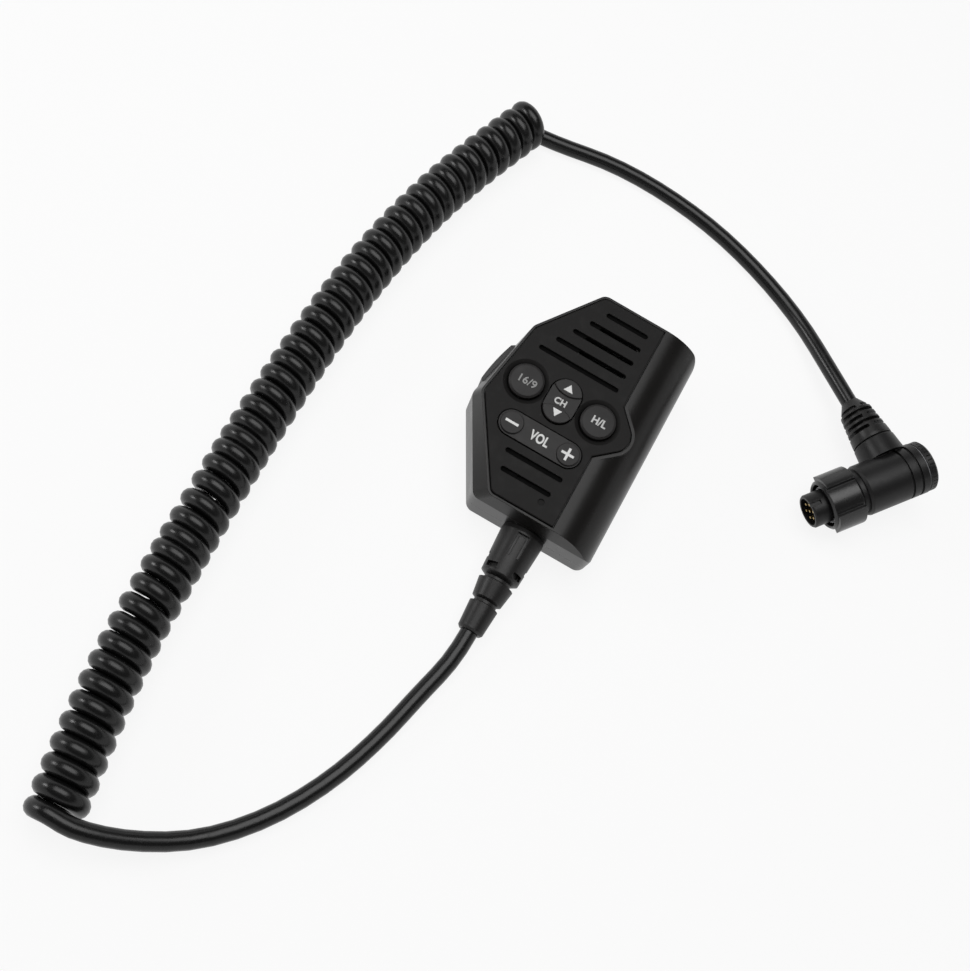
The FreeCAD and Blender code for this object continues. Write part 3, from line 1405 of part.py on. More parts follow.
def make_coupling_ring():
    """A turning collar with three raised grips."""
    body = new_body("coupling_ring")
    profile = sketch_in(body, "XY_Plane", "ring_profile")
    end = "ring_start + ring_length"
    draw(profile, (
        ("ring_start", "ring_bore + 0.5"),
        ("ring_start", "ring_radius - ring_chamfer"),
        ("ring_start + ring_chamfer", "ring_radius"),
        (f"{end} - ring_chamfer", "ring_radius"),
        (end, "ring_radius - ring_chamfer"),
        (end, "neck_radius + neck_gap"),
        (f"{end} - ring_back_wall", "neck_radius + neck_gap"),
        (f"{end} - ring_back_wall", "ring_bore"),
        ("ring_start + 0.5", "ring_bore"),
    ))
    revolve(body, profile, "H_Axis", "collar")
    lobe = sketch_in(body, "YZ_Plane", "lobe_outline", z="ring_start + lobe_setback")
    turns = ("lobe_turn - lobe_angle / 2", "lobe_turn", "lobe_turn + lobe_angle / 2")
    inner, outer = [[(f"({radius}) * cos(1 deg * ({turn}))", f"({radius}) * sin(1 deg * ({turn}))")
                     for turn in turns] for radius in ("ring_bore + 0.7", "lobe_radius")]
    draw(lobe, (outer[0], outer[1] + outer[2], inner[2], inner[1] + inner[0]))
    grip = pad(body, lobe, "ring_length - 2 * lobe_setback", "lobe")
    around(body, grip, (lobe, ["N_Axis"]), 3, "lobes")
    node(body, "coupling_ring", "plug")


def make_cap():
    """The knurled rear cap, on a seal."""
    body = new_body("plug_cap")
    start = "body_end + seal_section / 2"
    profile = sketch_in(body, "XY_Plane", "cap_profile")
    draw(profile, (
        ("body_end - cap_spigot_length", "cap_spigot - 1.6"),
        ("body_end - cap_spigot_length", "cap_spigot"),
        (start, "cap_spigot"),
        (start, "body_radius - 0.2"),
        ("cap_end - 0.8", "body_radius - 0.2"),
        ("cap_end", "body_radius - 1.0"),
        ("cap_end", "body_radius - 3.4"),
        ("cap_end - 0.6", "body_radius - 4.0"),
        ("cap_end - 0.6", "0"),
        (f"{start} + 0.8", "0"),
        (f"{start} + 0.8", "cap_spigot - 1.6"),
    ))
    revolve(body, profile, "H_Axis", "cap")
    notch = sketch_in(body, "YZ_Plane", "knurl_notch", z=f"{start} + 0.7")
    draw(notch, (("body_radius - 0.2 - knurl_depth", "0"), ("body_radius + 0.5", "0.5"),
                 ("body_radius + 0.5", "-0.5")))
    cut_out = pocket(body, notch, "cap_end", "knurl", reverse=True)
    around(body, cut_out, (notch, ["N_Axis"]), KNURLS, "knurls")
    node(body, "plug_cap", "plug")
    seal = cut(cylinder("body_end", "0", "0", "body_radius - 0.5", "seal_section / 2", "x"),
               [cylinder("body_end - 1", "0", "0", "cap_spigot + 0.03", "seal_section + 2", "x")], "cap_seal")
    node(seal, "cap_seal", "plug")


def make_plug_boot():
    """A tapered relief with rows of slots that leave a spine on alternate sides."""
    body = new_body("plug_boot")
    profile = sketch_in(body, "XY_Plane", "relief_profile")
    bore = "cord_diameter / 2 + boot_bore_gap"
    draw(profile, (
        (bore, "branch_end - 6"),
        ("branch_socket - 0.05", "branch_end - 6"),
        ("branch_socket - 0.05", "branch_end + 0.05"),
        ("branch_radius - 0.3", "branch_end + 0.05"),
        ("branch_radius - 0.3", "branch_end + 1.2"),
        ("relief_shoulder_radius", "relief_shoulder"),
        ("relief_tip_radius", "relief_end - 0.6"),
        ("relief_tip_radius - 0.3", "relief_end"),
        (bore, "relief_end"),
    ))
    revolve(body, profile, "V_Axis", "relief")
    for row in range(5):
        for side in (-1, 1):
            slot = sketch_in(body, "XZ_Plane", f"relief_slot_{row}_{side}",
                             z=f"-branch_end - 2.6 - {row} * relief_slot_pitch - relief_slot_width")
            wide = "(branch_radius + 1)"
            near = f"{side} * relief_spine / 2"
            far = f"{side} * {wide}"
            corners = ((f"-{wide}", near), (wide, near), (wide, far), (f"-{wide}", far))
            draw(slot, corners if row % 2 else [(y, x) for x, y in corners])
            pocket(body, slot, "relief_slot_width", f"relief_cut_{row}_{side}", reverse=False)
    core = sketch_in(body, "XY_Plane", "relief_core_profile")
    draw(core, (
        (bore, "branch_end - 6"),
        ("relief_core", "branch_end - 6"),
        ("relief_core", "relief_end - 2"),
        (bore, "relief_end - 2"),
    ))
    revolve(body, core, "V_Axis", "relief_tube")
    node(body, "plug_boot", "branch")
    end = cylinder("0", "branch_end - 9", "0", "cord_diameter / 2", "relief_end - branch_end + 9", "y")
    node(end, "cord_end_in_plug", "branch")


# ---------------------------------------------------------------- cord

def middle_line(points, share=0.45):
    """Straight runs joined by tangent arcs through the bends of a route."""
    lines = []
    start = points[0]
    for before, corner, after in zip(points, points[1:], points[2:]):
        into = (corner - before).normalize()
        out = (after - corner).normalize()
        half_turn = into.getAngle(out) / 2
        reach = share * min(corner.distanceToPoint(before), after.distanceToPoint(corner))
        radius = reach / math.tan(half_turn)
        first, last = corner - into * reach, corner + out * reach
        towards = (out - into).normalize()
        middle = corner + towards * (radius / math.cos(half_turn) - radius)
        lines.append(Part.LineSegment(start, first).toShape())
        lines.append(Part.Arc(first, middle, last).toShape())
        RADII.append(round(radius, 1))
        start = last
    lines.append(Part.LineSegment(start, points[-1]).toShape())
    return Part.Wire(lines)


RADII = []


def tube(points, radius, share=0.45):
    path = middle_line(points, share)
    mouth = Part.Wire(Part.Circle(points[0], points[1] - points[0], radius).toShape())
    return path.makePipeShell([mouth], True, False)


def cord_piece(label, points, diameter):
    """One stretch of the cord, drawn straight in the finished object's frame."""
    piece = doc.addObject("Part::Feature", label)
    piece.Shape = tube(points, value(diameter) / 2)
    node(piece, label, None)


# ---------------------------------------------------------------- assembly

make_front_shell()
make_rear_shell()
make_seam_gasket()
make_face_panel()
make_round_key("channel_sixteen_key", "-key_spacing")
make_round_key("power_level_key", "key_spacing")
make_channel_rocker()
make_volume_rocker()
make_keypad_sheet()
make_circuit_board()
make_key_switches()
make_speaker()
make_microphone()
make_lever()
make_hang_stud()
make_screws()
make_cord_boot()
make_clamp()
make_leads()
make_plug()
make_coupling_ring()
make_cap()
make_plug_boot()
doc.recompute()

# The casing rests on the stud's head and on the lower edge of its back, so it leans.
reach = value("stud_y - stud_head_radius + case_bottom - back_radius")
rise = value("stud_length + back_radius")
LEAN = math.atan2(rise, reach) - math.asin(value("back_radius") / math.hypot(reach, rise))
LIFT = value("back_radius") * (1 - math.cos(LEAN)) + value("case_bottom - back_radius") * math.sin(LEAN)
lean = FreeCAD.Placement(Vector(0, 0, LIFT), FreeCAD.Rotation(X_AXIS, math.degrees(LEAN)))
ON_CORD = ("cord_boot", "cord_end_in_boot")


def extent(seats):
    """The box round every piece of some assemblies, each in its given place."""
    whole = FreeCAD.BoundBox()
    for label, (item, seat) in NODES.items():
        if seat in seats and label not in ON_CORD:
            shape = item.Shape.copy()
            shape.Placement = seats[seat].multiply(shape.Placement)
            whole.add(shape.optimalBoundingBox(False, False))
    return whole


bounds = extent({"handset": lean, "left_wall": lean.multiply(WALL_FRAME)})
handset = FreeCAD.Placement(Vector(-bounds.Center.x, -bounds.Center.y, 0), FreeCAD.Rotation()).multiply(lean)
exit_frame = FreeCAD.Placement(Vector(value("cord_exit_x"), -value("case_bottom"), value("seam_height")),
                               FreeCAD.Rotation(Z_AXIS, -90))

plug_turn = FreeCAD.Rotation(Z_AXIS, value("plug_heading"))
plug_turn = plug_turn.multiply(FreeCAD.Rotation(Y_AXIS, value("plug_pitch")))
plug_turn = plug_turn.multiply(FreeCAD.Rotation(X_AXIS, -value("plug_roll")))
branch_frame = FreeCAD.Placement(Vector(value("branch_along"), 0, 0), FreeCAD.Rotation())
laid = FreeCAD.Placement(Vector(), plug_turn)
depth = extent({"plug": laid, "branch": laid.multiply(branch_frame)}).ZMin
plug = FreeCAD.Placement(Vector(value("plug_nose_x"), value("plug_nose_y"), -depth), plug_turn)

SEATS = {
    "handset": handset,
    "left_wall": handset.multiply(WALL_FRAME),
    "cord_exit": handset.multiply(exit_frame),
    "plug": plug,
    "branch": plug.multiply(branch_frame),
}
for item, seat in list(NODES.values()):
    place = item.Placement
    for letter in "xyz":
        item.setExpression("Placement.Base." + letter, None)
    item.Placement = SEATS[seat].multiply(place)

boot_tip = SEATS["cord_exit"].multVec(Vector(value("boot_third_end"), 0, 0))
boot_lead = SEATS["cord_exit"].multVec(Vector(value("boot_third_end + boot_run"), 0, 0))
plug_tip = SEATS["branch"].multVec(Vector(0, value("relief_end"), 0))
plug_lead = SEATS["branch"].multVec(Vector(0, value("relief_end + plug_run"), 0))
cord_piece("cord_handset_side", [boot_tip, boot_lead] + [Vector(*p) for p in HANDSET_SIDE], "cord_diameter")
cord_piece("cord_coil", [Vector(*p) for p in COIL], "coil_diameter")
cord_piece("cord_plug_side", [Vector(*p) for p in PLUG_SIDE] + [plug_lead, plug_tip], "cord_diameter")
doc.recompute()

os.makedirs("parts", exist_ok=True)
for item in doc.Objects:
    if "Invalid" in item.State or "Error" in item.State:
        raise RuntimeError(f"{item.Name} did not compute")
for label, (item, seat) in NODES.items():
    if item.Shape.isNull() or not item.Shape.isValid() or not item.Shape.Solids:
        raise RuntimeError(f"{label} has no sound shape")
for label, (item, seat) in NODES.items():
    item.Shape.exportStep(f"parts/{label}.step")
print(len(NODES), "sub-parts; bends of the cord", sorted(RADII)[:6])
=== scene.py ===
import json
import math
import random

import bmesh
import bpy
from bpy.props import FloatProperty, FloatVectorProperty, IntProperty, PointerProperty
from mathutils import Matrix, Vector
from mathutils.bvhtree import BVHTree


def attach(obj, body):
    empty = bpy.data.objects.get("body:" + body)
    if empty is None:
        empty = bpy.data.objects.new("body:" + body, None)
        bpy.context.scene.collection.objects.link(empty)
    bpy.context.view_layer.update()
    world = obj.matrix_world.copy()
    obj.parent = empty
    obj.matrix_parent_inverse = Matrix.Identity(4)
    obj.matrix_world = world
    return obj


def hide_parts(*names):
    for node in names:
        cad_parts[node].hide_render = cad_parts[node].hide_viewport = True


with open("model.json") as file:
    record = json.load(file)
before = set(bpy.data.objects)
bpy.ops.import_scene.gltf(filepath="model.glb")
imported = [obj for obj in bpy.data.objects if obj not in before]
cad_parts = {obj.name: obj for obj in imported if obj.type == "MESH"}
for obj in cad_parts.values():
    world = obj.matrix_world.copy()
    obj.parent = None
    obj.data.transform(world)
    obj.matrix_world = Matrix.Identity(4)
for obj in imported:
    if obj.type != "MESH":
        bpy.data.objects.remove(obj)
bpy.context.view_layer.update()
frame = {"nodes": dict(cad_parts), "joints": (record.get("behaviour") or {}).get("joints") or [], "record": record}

bl_info = {
    "name": "Marine radio hand microphone",
    "version": (1, 0, 0),
    "blender": (4, 5, 0),
    "location": "3D View > Sidebar > Hand microphone",
    "description": "Finishes, lettering, speaker cloth and curly cord of a marine radio's "
                   "hand microphone",
    "category": "Object",
}

# ---------------------------------------------------------------- shared places and sizes

MM = 0.001
JOINTS = {joint["name"]: joint for joint in frame["joints"]}
FACE_INWARDS = Vector(JOINTS["channel_sixteen_press"]["axis"])
LEAN = math.atan2(FACE_INWARDS.y, -FACE_INWARDS.z)
# The channel rocker's pin above the flat back of the case.
PIVOT_HEIGHT = 25.5 * MM
# The case's own frame: x = y = 0 at the middle of the key row, z = 0 on its flat back.
CASE = (Matrix.Translation(Vector(JOINTS["channel_rock"]["pos_m"]) + FACE_INWARDS * PIVOT_HEIGHT)
        @ Matrix.Rotation(LEAN, 4, "X"))
# The face panel's outside above the back, and how deep its sound slots are; both set the painted shade in the
# slots.
PANEL_TOP = 30.6 * MM
SLOT_DEPTH = 1.2 * MM
CORD_DIAMETER = 6.8 * MM
COIL_DIAMETER = 21.0 * MM

# Middle line of the cord in millimetres, from the strain relief to the plug.
HANDSET_SIDE = (
    (8.27, -89.89, 6.26),
    (8.27, -100.81, 4.92),
    (3.6, -118.5, 3.5),
    (-0.9, -138.5, 3.5),
    (-8.5, -160.6, 3.5),
    (-20.6, -182.1, 3.5),
    (-37.0, -200.0, 5.2),
    (-55.6, -211.2, 11.2),
    (-72.2, -216.8, 16.6),
)
COIL = (
    (-81.4, -216.4, 10.6),
    (-91.4, -172.0, 10.6),
    (-96.0, -119.0, 10.6),
    (-99.2, -60.0, 10.6),
    (-99.6, 0.0, 10.6),
    (-95.6, 46.0, 10.6),
    (-87.0, 88.0, 10.6),
    (-75.2, 124.4, 10.6),
)
PLUG_SIDE = (
    (-60.3, 126.2, 3.5),
    (-36.0, 132.0, 3.5),
    (-9.0, 132.5, 3.5),
    (19.2, 128.6, 3.5),
    (46.2, 119.8, 3.5),
    (70.2, 107.2, 4.8),
    (89.27, 87.95, 11.29),
    (101.2, 77.52, 13.47),
)


# ---------------------------------------------------------------- settings

class StageSettings(bpy.types.PropertyGroup):
    """The camera, floor and light."""

    lens: FloatProperty(name="Lens", description="Focal length on a 36 mm picture", default=46.34)
    elevation: FloatProperty(
        name="Camera height", description="Angle of the camera above the floor",
        default=math.radians(66), subtype="ANGLE")
    roll: FloatProperty(
        name="Camera roll", description="Turn of the picture about its middle",
        default=math.radians(30), subtype="ANGLE")
    distance: FloatProperty(
        name="Camera distance", description="From the camera to the point it looks at",
        default=0.485, unit="LENGTH")
    aim: FloatVectorProperty(
        name="Aim", description="The point that the camera looks at",
        default=(-0.0137, -0.0349, 0.005), subtype="TRANSLATION")
    floor_radius: FloatProperty(
        name="Floor", description="Radius of the floor out to the backdrop",
        default=2.2, unit="LENGTH")
    wall_height: FloatProperty(
        name="Backdrop", description="Height of the backdrop round the floor",
        default=1.1, unit="LENGTH")
    floor_colour: FloatVectorProperty(
        name="Floor colour", description="Colour of the floor and backdrop",
        default=(0.9, 0.9, 0.9), subtype="COLOR")
    floor_glow: FloatProperty(
        name="Floor glow", description="How little the floor shows shadows",
        default=0.88, min=0, max=1)
    sky_strength: FloatProperty(
        name="Room light", description="Strength of the even light",
        default=0.14)
    key_power: FloatProperty(
        name="Main light", description="Power of the main soft lamp",
        default=7.2, unit="POWER")
    fill_power: FloatProperty(
        name="Second light", description="Power of the second soft lamp",
        default=2.0, unit="POWER")


class CaseSettings(bpy.types.PropertyGroup):
    """Colours of the case, panel and keys, the legends' height and the speaker cloth's wires."""

    casing_colour: FloatVectorProperty(
        name="Casing", description="Colour of the two shells",
        default=(0.0080, 0.0074, 0.0070), subtype="COLOR")
    panel_colour: FloatVectorProperty(
        name="Face panel", description="Colour of the face panel",
        default=(0.0072, 0.0067, 0.0065), subtype="COLOR")
    key_colour: FloatVectorProperty(
        name="Keys", description="Colour of the key rubber",
        default=(0.0125, 0.0115, 0.0115), subtype="COLOR")
    lever_colour: FloatVectorProperty(
        name="Talk lever", description="Colour of the talk lever",
        default=(0.014, 0.0135, 0.0138), subtype="COLOR")
    legend_colour: FloatVectorProperty(
        name="Legends", description="Colour of the printed legends",
        default=(0.78, 0.78, 0.77), subtype="COLOR")
    legend_proud: FloatProperty(
        name="Legend height", description="How far the print stands off a key",
        default=0.05 * MM, unit="LENGTH")
    wire_pitch: FloatProperty(
        name="Cloth pitch", description="Distance between the speaker cloth's wires",
        default=0.75 * MM, unit="LENGTH")
    wire_diameter: FloatProperty(
        name="Cloth wire", description="Diameter of the speaker cloth's wires",
        default=0.24 * MM, unit="LENGTH")


class CordSettings(bpy.types.PropertyGroup):
    """The cord, its coil and its plug."""

    turns: IntProperty(name="Turns", description="Whole turns in the curly part", default=47, min=4)
    turn_points: IntProperty(
        name="Points a turn", description="Points that draw one turn",
        default=14, min=12)
    looseness: FloatProperty(
        name="Looseness", description="How unevenly the turns lie, as a share of the pitch",
        default=0.05, min=0, max=0.3)
    swell: FloatProperty(
        name="Swell", description="How much thicker the jacket is in the turns",
        default=0.06, min=0, max=0.08)
    jacket_colour: FloatVectorProperty(
        name="Jacket", description="Colour of the cord's jacket",
        default=(0.0045, 0.0045, 0.0046), subtype="COLOR")
    relief_colour: FloatVectorProperty(
        name="Strain reliefs", description="Colour of the moulded rubber",
        default=(0.0085, 0.008, 0.008), subtype="COLOR")
    plug_colour: FloatVectorProperty(
        name="Plug", description="Colour of the plug's body",
        default=(0.0085, 0.0083, 0.0085), subtype="COLOR")


# ---------------------------------------------------------------- shader helpers

class Wire:
    """An output of a node. Arithmetic on it adds Math nodes to its tree."""

    def __init__(self, nodes, socket):
        self.nodes = nodes
        self.socket = socket

    def maths(self, operation, *sources):
        """A Math node on some values and outputs."""
        return self.nodes.node("ShaderNodeMath", {"operation": operation}, dict(enumerate(sources)))

    def __add__(self, other):
        return self.maths("ADD", self, other)

    def __radd__(self, other):
        return self.maths("ADD", other, self)

    def __sub__(self, other):
        return self.maths("SUBTRACT", self, other)

    def __rsub__(self, other):
        return self.maths("SUBTRACT", other, self)

    def __mul__(self, other):
        return self.maths("MULTIPLY", self, other)

    def __rmul__(self, other):
        return self.maths("MULTIPLY", other, self)

    def __truediv__(self, other):
        return self.maths("DIVIDE", self, other)

    def __rtruediv__(self, other):
        return self.maths("DIVIDE", other, self)

    def cosine(self):
        return self.maths("COSINE", self)

    def whole(self):
        return self.maths("FLOOR", self)


class Nodes:
    """A node tree that is written as plain calls."""

    def __init__(self, tree):
        self.tree = tree

    def node(self, kind, settings, inputs, output=0):
        """Adds a node, sets it up, feeds its sockets and returns one of its outputs."""
        made = self.tree.nodes.new(kind)
        for name, setting in settings.items():
            if name == "stops":
                for element, (position, level) in zip(made.color_ramp.elements, setting):
                    element.position = position
                    element.color = (level, level, level, 1)
            else:
                setattr(made, name, setting)
        for name, source in inputs.items():
            self.feed(made.inputs[name], source)
        return Wire(self, made.outputs[output])

    def feed(self, socket, source):
        """Links an output to a socket, or sets the socket's own value."""
        if isinstance(source, Wire):
            self.tree.links.new(source.socket, socket)
        else:
            socket.default_value = source


class Finish(Nodes):
    """A material: one Principled shader and the nodes that feed it."""

    def __init__(self, name, **uniform):
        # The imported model's own material of this name makes way.
        packed = bpy.data.materials.get(name)
        if packed is not None:
            packed.name = f"{name}_packed"
        self.material = bpy.data.materials.new(name)
        self.material.use_nodes = True
        super().__init__(self.material.node_tree)
        self.shader = self.tree.nodes["Principled BSDF"]
        for socket, number in uniform.items():
            self.shader.inputs[socket.replace("_", " ")].default_value = number
        self.place = self.node("ShaderNodeTexCoord", {}, {}, "Object")

    def noise(self, size, detail=2.0, roughness=0.5):
        """Cloudy noise whose spots are about a size across, from 0 to 1."""
        return self.node("ShaderNodeTexNoise", {"normalize": True}, {
            "Vector": self.place, "Scale": 1 / size, "Detail": detail, "Roughness": roughness})

    def pits(self, size):
        """Distance from the nearest of many scattered points, for moulded grain."""
        return self.node("ShaderNodeTexVoronoi", {"feature": "F1"}, {
            "Vector": self.place, "Scale": 1 / size, "Randomness": 1.0}, "Distance")

    def scratches(self, size, stretch):
        """Thin streaks, longer one way than the other."""
        askew = (0.3, 0.5, 0.7)
        stretched = self.node("ShaderNodeMapping", {}, {
            "Vector": self.place, "Rotation": askew, "Scale": (1.0, stretch, stretch)})
        return self.node("ShaderNodeTexNoise", {"normalize": True}, {
            "Vector": stretched, "Scale": 1 / size, "Detail": 1.0, "Roughness": 0.4})

    def ramp(self, source, low, high):
        """0 below a value, 1 above another, and a smooth rise between them."""
        return self.node("ShaderNodeValToRGB", {"stops": ((low, 0.0), (high, 1.0))}, {0: source})

    def mix(self, share, first, second):
        """A colour between two others. The Mix node keeps its colours in sockets 6, 7 and 2."""
        first, second = (colour if isinstance(colour, Wire) else (*colour, 1)
                         for colour in (first, second))
        return self.node("ShaderNodeMix", {"data_type": "RGBA"}, {0: share, 6: first, 7: second}, 2)

    def recess_shade(self, place, top, depth):
        """0 on a face at a height in the frame of a place and 1 at a depth below it, for painted shade."""
        back = place.inverted()
        in_place = self.node("ShaderNodeMapping", {}, {
            "Vector": self.place, "Location": back.to_translation(), "Rotation": back.to_euler()})
        height = self.node("ShaderNodeSeparateXYZ", {}, {0: in_place}, "Z")
        return self.ramp((top - height) / depth, 0.35, 0.9)

    def rounded_edges(self, radius):
        """The surface's direction with its sharp edges eased."""
        return self.node("ShaderNodeBevel", {"samples": 4}, {"Radius": radius})

    def edges(self, eased):
        """1 along the eased edges and 0 on the flats."""
        straight = self.node("ShaderNodeNewGeometry", {}, {}, "Normal")
        same = self.node("ShaderNodeVectorMath", {"operation": "DOT_PRODUCT"},
                         {0: eased, 1: straight}, "Value")
        return self.ramp(1.0 - same, 0.002, 0.06)

    def relief(self, height, depth, under=None):
        """A bump of a given depth, on top of another if there is one."""
        inputs = {"Height": height, "Distance": depth, "Strength": 1.0}
        if under is not None:
            inputs["Normal"] = under
        return self.node("ShaderNodeBump", {}, inputs)

    def apply(self, **sources):
        """Feeds the shader's sockets and returns the finished material."""
        for socket, source in sources.items():
            self.feed(self.shader.inputs[socket.replace("_", " ")], source)
        return self.material


def shade(colour, factor):
    """A colour made darker or lighter."""
    return tuple(channel * factor for channel in colour)


def moulded(name, colour, roughness, specular, grain, depth, spread=0.08, paint_slot_shade=False):
    """Moulded plastic or rubber: grain, faint clouding, rubbed patches and worn edges.

    The gloss wanders by the spread. On request, painted shade makes the sound slots dark and matt inside.
    """
    finish = Finish(name, Specular_IOR_Level=specular)
    eased = finish.rounded_edges(0.35 * MM)
    worn = finish.edges(eased)
    fine = finish.pits(grain)
    cloud = finish.noise(14 * MM, detail=3.0)
    rub = finish.ramp(finish.noise(5 * MM, detail=4.0), 0.52, 0.75)
    tone = finish.mix(cloud, shade(colour, 0.84), shade(colour, 1.18))
    tone = finish.mix(rub * 0.22 + worn * 0.3, tone, shade(colour, 1.9))
    gloss = roughness + (cloud - 0.5) * spread - (rub + worn) * (spread * 0.6)
    # Painted shade: the slots' floors darken with their depth below the face, standing in for the shade inside
    # them.
    if paint_slot_shade:
        recess_shade = finish.recess_shade(CASE, PANEL_TOP, SLOT_DEPTH)
        tone = finish.mix(recess_shade, tone, shade(colour, 0.08))
        gloss = gloss + recess_shade * (1 - roughness)
    return finish.apply(Base_Color=tone, Roughness=gloss, Normal=finish.relief(fine, depth, eased))


def plain_metal(name, colour, roughness, scratch_depth):
    """Bare or plated metal with fine scratches."""
    finish = Finish(name, Metallic=1.0)
    streak = finish.scratches(0.4 * MM, stretch=12.0)
    cloud = finish.noise(3 * MM, detail=3.0)
    tone = finish.mix(cloud, shade(colour, 0.85), colour)
    gloss = roughness + (streak - 0.5) * 0.18
    return finish.apply(Base_Color=tone, Roughness=gloss,
                        Normal=finish.relief(streak, scratch_depth))


# ---------------------------------------------------------------- finishes

def casing_finish(colours):
    """Satin black shell plastic with a soft shine."""
    return moulded("casing_black", colours.casing_colour, roughness=0.30, specular=0.23,
                   grain=0.35 * MM, depth=0.0015 * MM, spread=0.06)


def panel_finish(colours):
    """Spark-eroded charcoal face plastic, with painted shade in its sound slots."""
    return moulded("panel_charcoal", colours.panel_colour, roughness=0.6, specular=0.2,
                   grain=0.28 * MM, depth=0.012 * MM, paint_slot_shade=True)


def key_finish(colours):
    """Silky key rubber."""
    return moulded("key_rubber", colours.key_colour, roughness=0.48, specular=0.28,
                   grain=0.22 * MM, depth=0.005 * MM)


def lever_finish(colours):
    """Grippy skin of the talk lever."""
    return moulded("lever_black", colours.lever_colour, roughness=0.46, specular=0.42,
                   grain=0.3 * MM, depth=0.014 * MM)


def legend_finish(colours, name, fresh):
    """White print, a little worn; the less fresh it is, the greyer."""
    finish = Finish(name, Specular_IOR_Level=0.3)
    worn = finish.ramp(finish.noise(0.35 * MM, detail=3.0), 0.6, 0.8)
    colour = shade(colours.legend_colour, fresh)
    tone = finish.mix(worn * 0.35, colour, shade(colour, 0.55))
    return finish.apply(Base_Color=tone, Roughness=0.5 + worn * 0.2,
                        Normal=finish.relief(finish.noise(0.2 * MM), 0.003 * MM))


def jacket_finish(colours):
    """Smooth polyurethane jacket with faint handling marks."""
    finish = Finish("cord_jacket", Specular_IOR_Level=0.37)
    colour = tuple(colours.jacket_colour)
    cloud = finish.noise(9 * MM, detail=4.0)
    scuff = finish.ramp(finish.scratches(2.0 * MM, stretch=2.0), 0.6, 0.75)
    tone = finish.mix(cloud, shade(colour, 0.8), shade(colour, 1.25))
    tone = finish.mix(scuff * 0.3, tone, shade(colour, 2.0))
    gloss = 0.27 + (cloud - 0.5) * 0.1 + scuff * 0.08
    ripple = finish.noise(1.6 * MM)
    return finish.apply(Base_Color=tone, Roughness=gloss, Normal=finish.relief(ripple, 0.012 * MM))


def relief_finish(colours):
    """Soft moulded rubber of the strain reliefs."""
    return moulded("relief_rubber", colours.relief_colour, roughness=0.42, specular=0.36,
                   grain=0.4 * MM, depth=0.01 * MM, spread=0.1)


def plug_finish(colours):
    """Glass-filled nylon of the plug."""
    return moulded("plug_black", colours.plug_colour, roughness=0.42, specular=0.3,
                   grain=0.3 * MM, depth=0.01 * MM)


def ring_finish(colours):
    """Shinier nylon of the coupling ring."""
    return moulded("ring_black", shade(colours.plug_colour, 0.85), roughness=0.27, specular=0.5,
                   grain=0.4 * MM, depth=0.004 * MM, spread=0.06)


def board_finish(colours):
    """Green solder mask over tracks and glass fibre."""
    finish = Finish("board_green", Specular_IOR_Level=0.5)
    track = finish.ramp(finish.noise(2.4 * MM, detail=0.0), 0.48, 0.5)
    weave = finish.noise(0.5 * MM, detail=1.0)
    tone = finish.mix(track, (0.012, 0.11, 0.04), (0.02, 0.17, 0.06))
    return finish.apply(Base_Color=tone, Roughness=0.35 + weave * 0.1,
                        Normal=finish.relief(track, 0.03 * MM))


def felt_finish():
    """Matt fibres pressed flat."""
    finish = Finish("felt_black", Specular_IOR_Level=0.1)
    fibres = finish.scratches(0.12 * MM, stretch=4.0)
    tone = finish.mix(fibres, (0.002, 0.002, 0.002), (0.007, 0.007, 0.007))
    return finish.apply(Base_Color=tone, Roughness=0.85 + fibres * 0.1,
                        Normal=finish.relief(fibres, 0.05 * MM))


# Material slots whose finish is written above.
FINISHES = {
    "casing_black": casing_finish,
    "panel_charcoal": panel_finish,
    "key_rubber": key_finish,
    "lever_black": lever_finish,
    "relief_rubber": relief_finish,
    "cord_jacket": jacket_finish,
    "plug_black": plug_finish,
    "ring_black": ring_finish,
    "board_green": board_finish,
}
# Slots of plain plastic and rubber: colour, roughness, specular, grain and its depth in mm.
PLASTICS = {
    "lead_plastic": ((0.35, 0.06, 0.05), 0.4, 0.45, 0.5, 0.004),
    "silicone_grey": ((0.2, 0.2, 0.21), 0.5, 0.4, 0.3, 0.005),
    "cone_black": ((0.05, 0.05, 0.055), 0.55, 0.3, 0.4, 0.01),
    "mesh_black": ((0.012, 0.012, 0.012), 0.5, 0.4, 0.2, 0.004),
    "part_black": ((0.02, 0.02, 0.02), 0.45, 0.45, 0.3, 0.01),
    "stud_black": ((0.016, 0.016, 0.017), 0.4, 0.45, 0.3, 0.01),
}
# Slots of metal: colour, roughness and the depth of the scratches in mm.
METALS = {
    "switch_metal": ((0.62, 0.61, 0.59), 0.3, 0.002),
    "frame_steel": ((0.42, 0.43, 0.45), 0.34, 0.003),
    # The contacts' gold is toned dark as painted shade for the deep nose that they sit in.
    "contact_gold": ((0.50, 0.36, 0.13), 0.34, 0.001),
}


def finish_of(slot, colours):
    """Makes the finish of a material slot."""
    if slot in PLASTICS:
        colour, roughness, specular, grain, depth = PLASTICS[slot]
        return moulded(slot, colour, roughness, specular, grain * MM, depth * MM)
    if slot in METALS:
        colour, roughness, scratch_depth = METALS[slot]
        return plain_metal(slot, colour, roughness, scratch_depth * MM)
    return FINISHES[slot](colours)


def slot_of(node):
    """The material slot that the record gives a CAD piece."""
    return next(part["material_slot"] for part in frame["record"]["subparts"]
                if part["node"] == node)


def finish_nodes(slots, colours):
    """Gives every CAD piece of some material slots its finish."""
    for slot in slots:
        material = finish_of(slot, colours)
        for name, item in frame["nodes"].items():
            if slot_of(name) == slot:
                item.data.materials.clear()
                item.data.materials.append(material)


def material_named(name):
    """A finish that an earlier operator has made."""
    found = bpy.data.materials.get(name)
    if found is None:
        raise RuntimeError(f"the material {name} has to be made first")
    return found


# ---------------------------------------------------------------- mesh helpers

def link(item):
    """Puts an object in the scene."""
    bpy.context.scene.collection.objects.link(item)
    return item


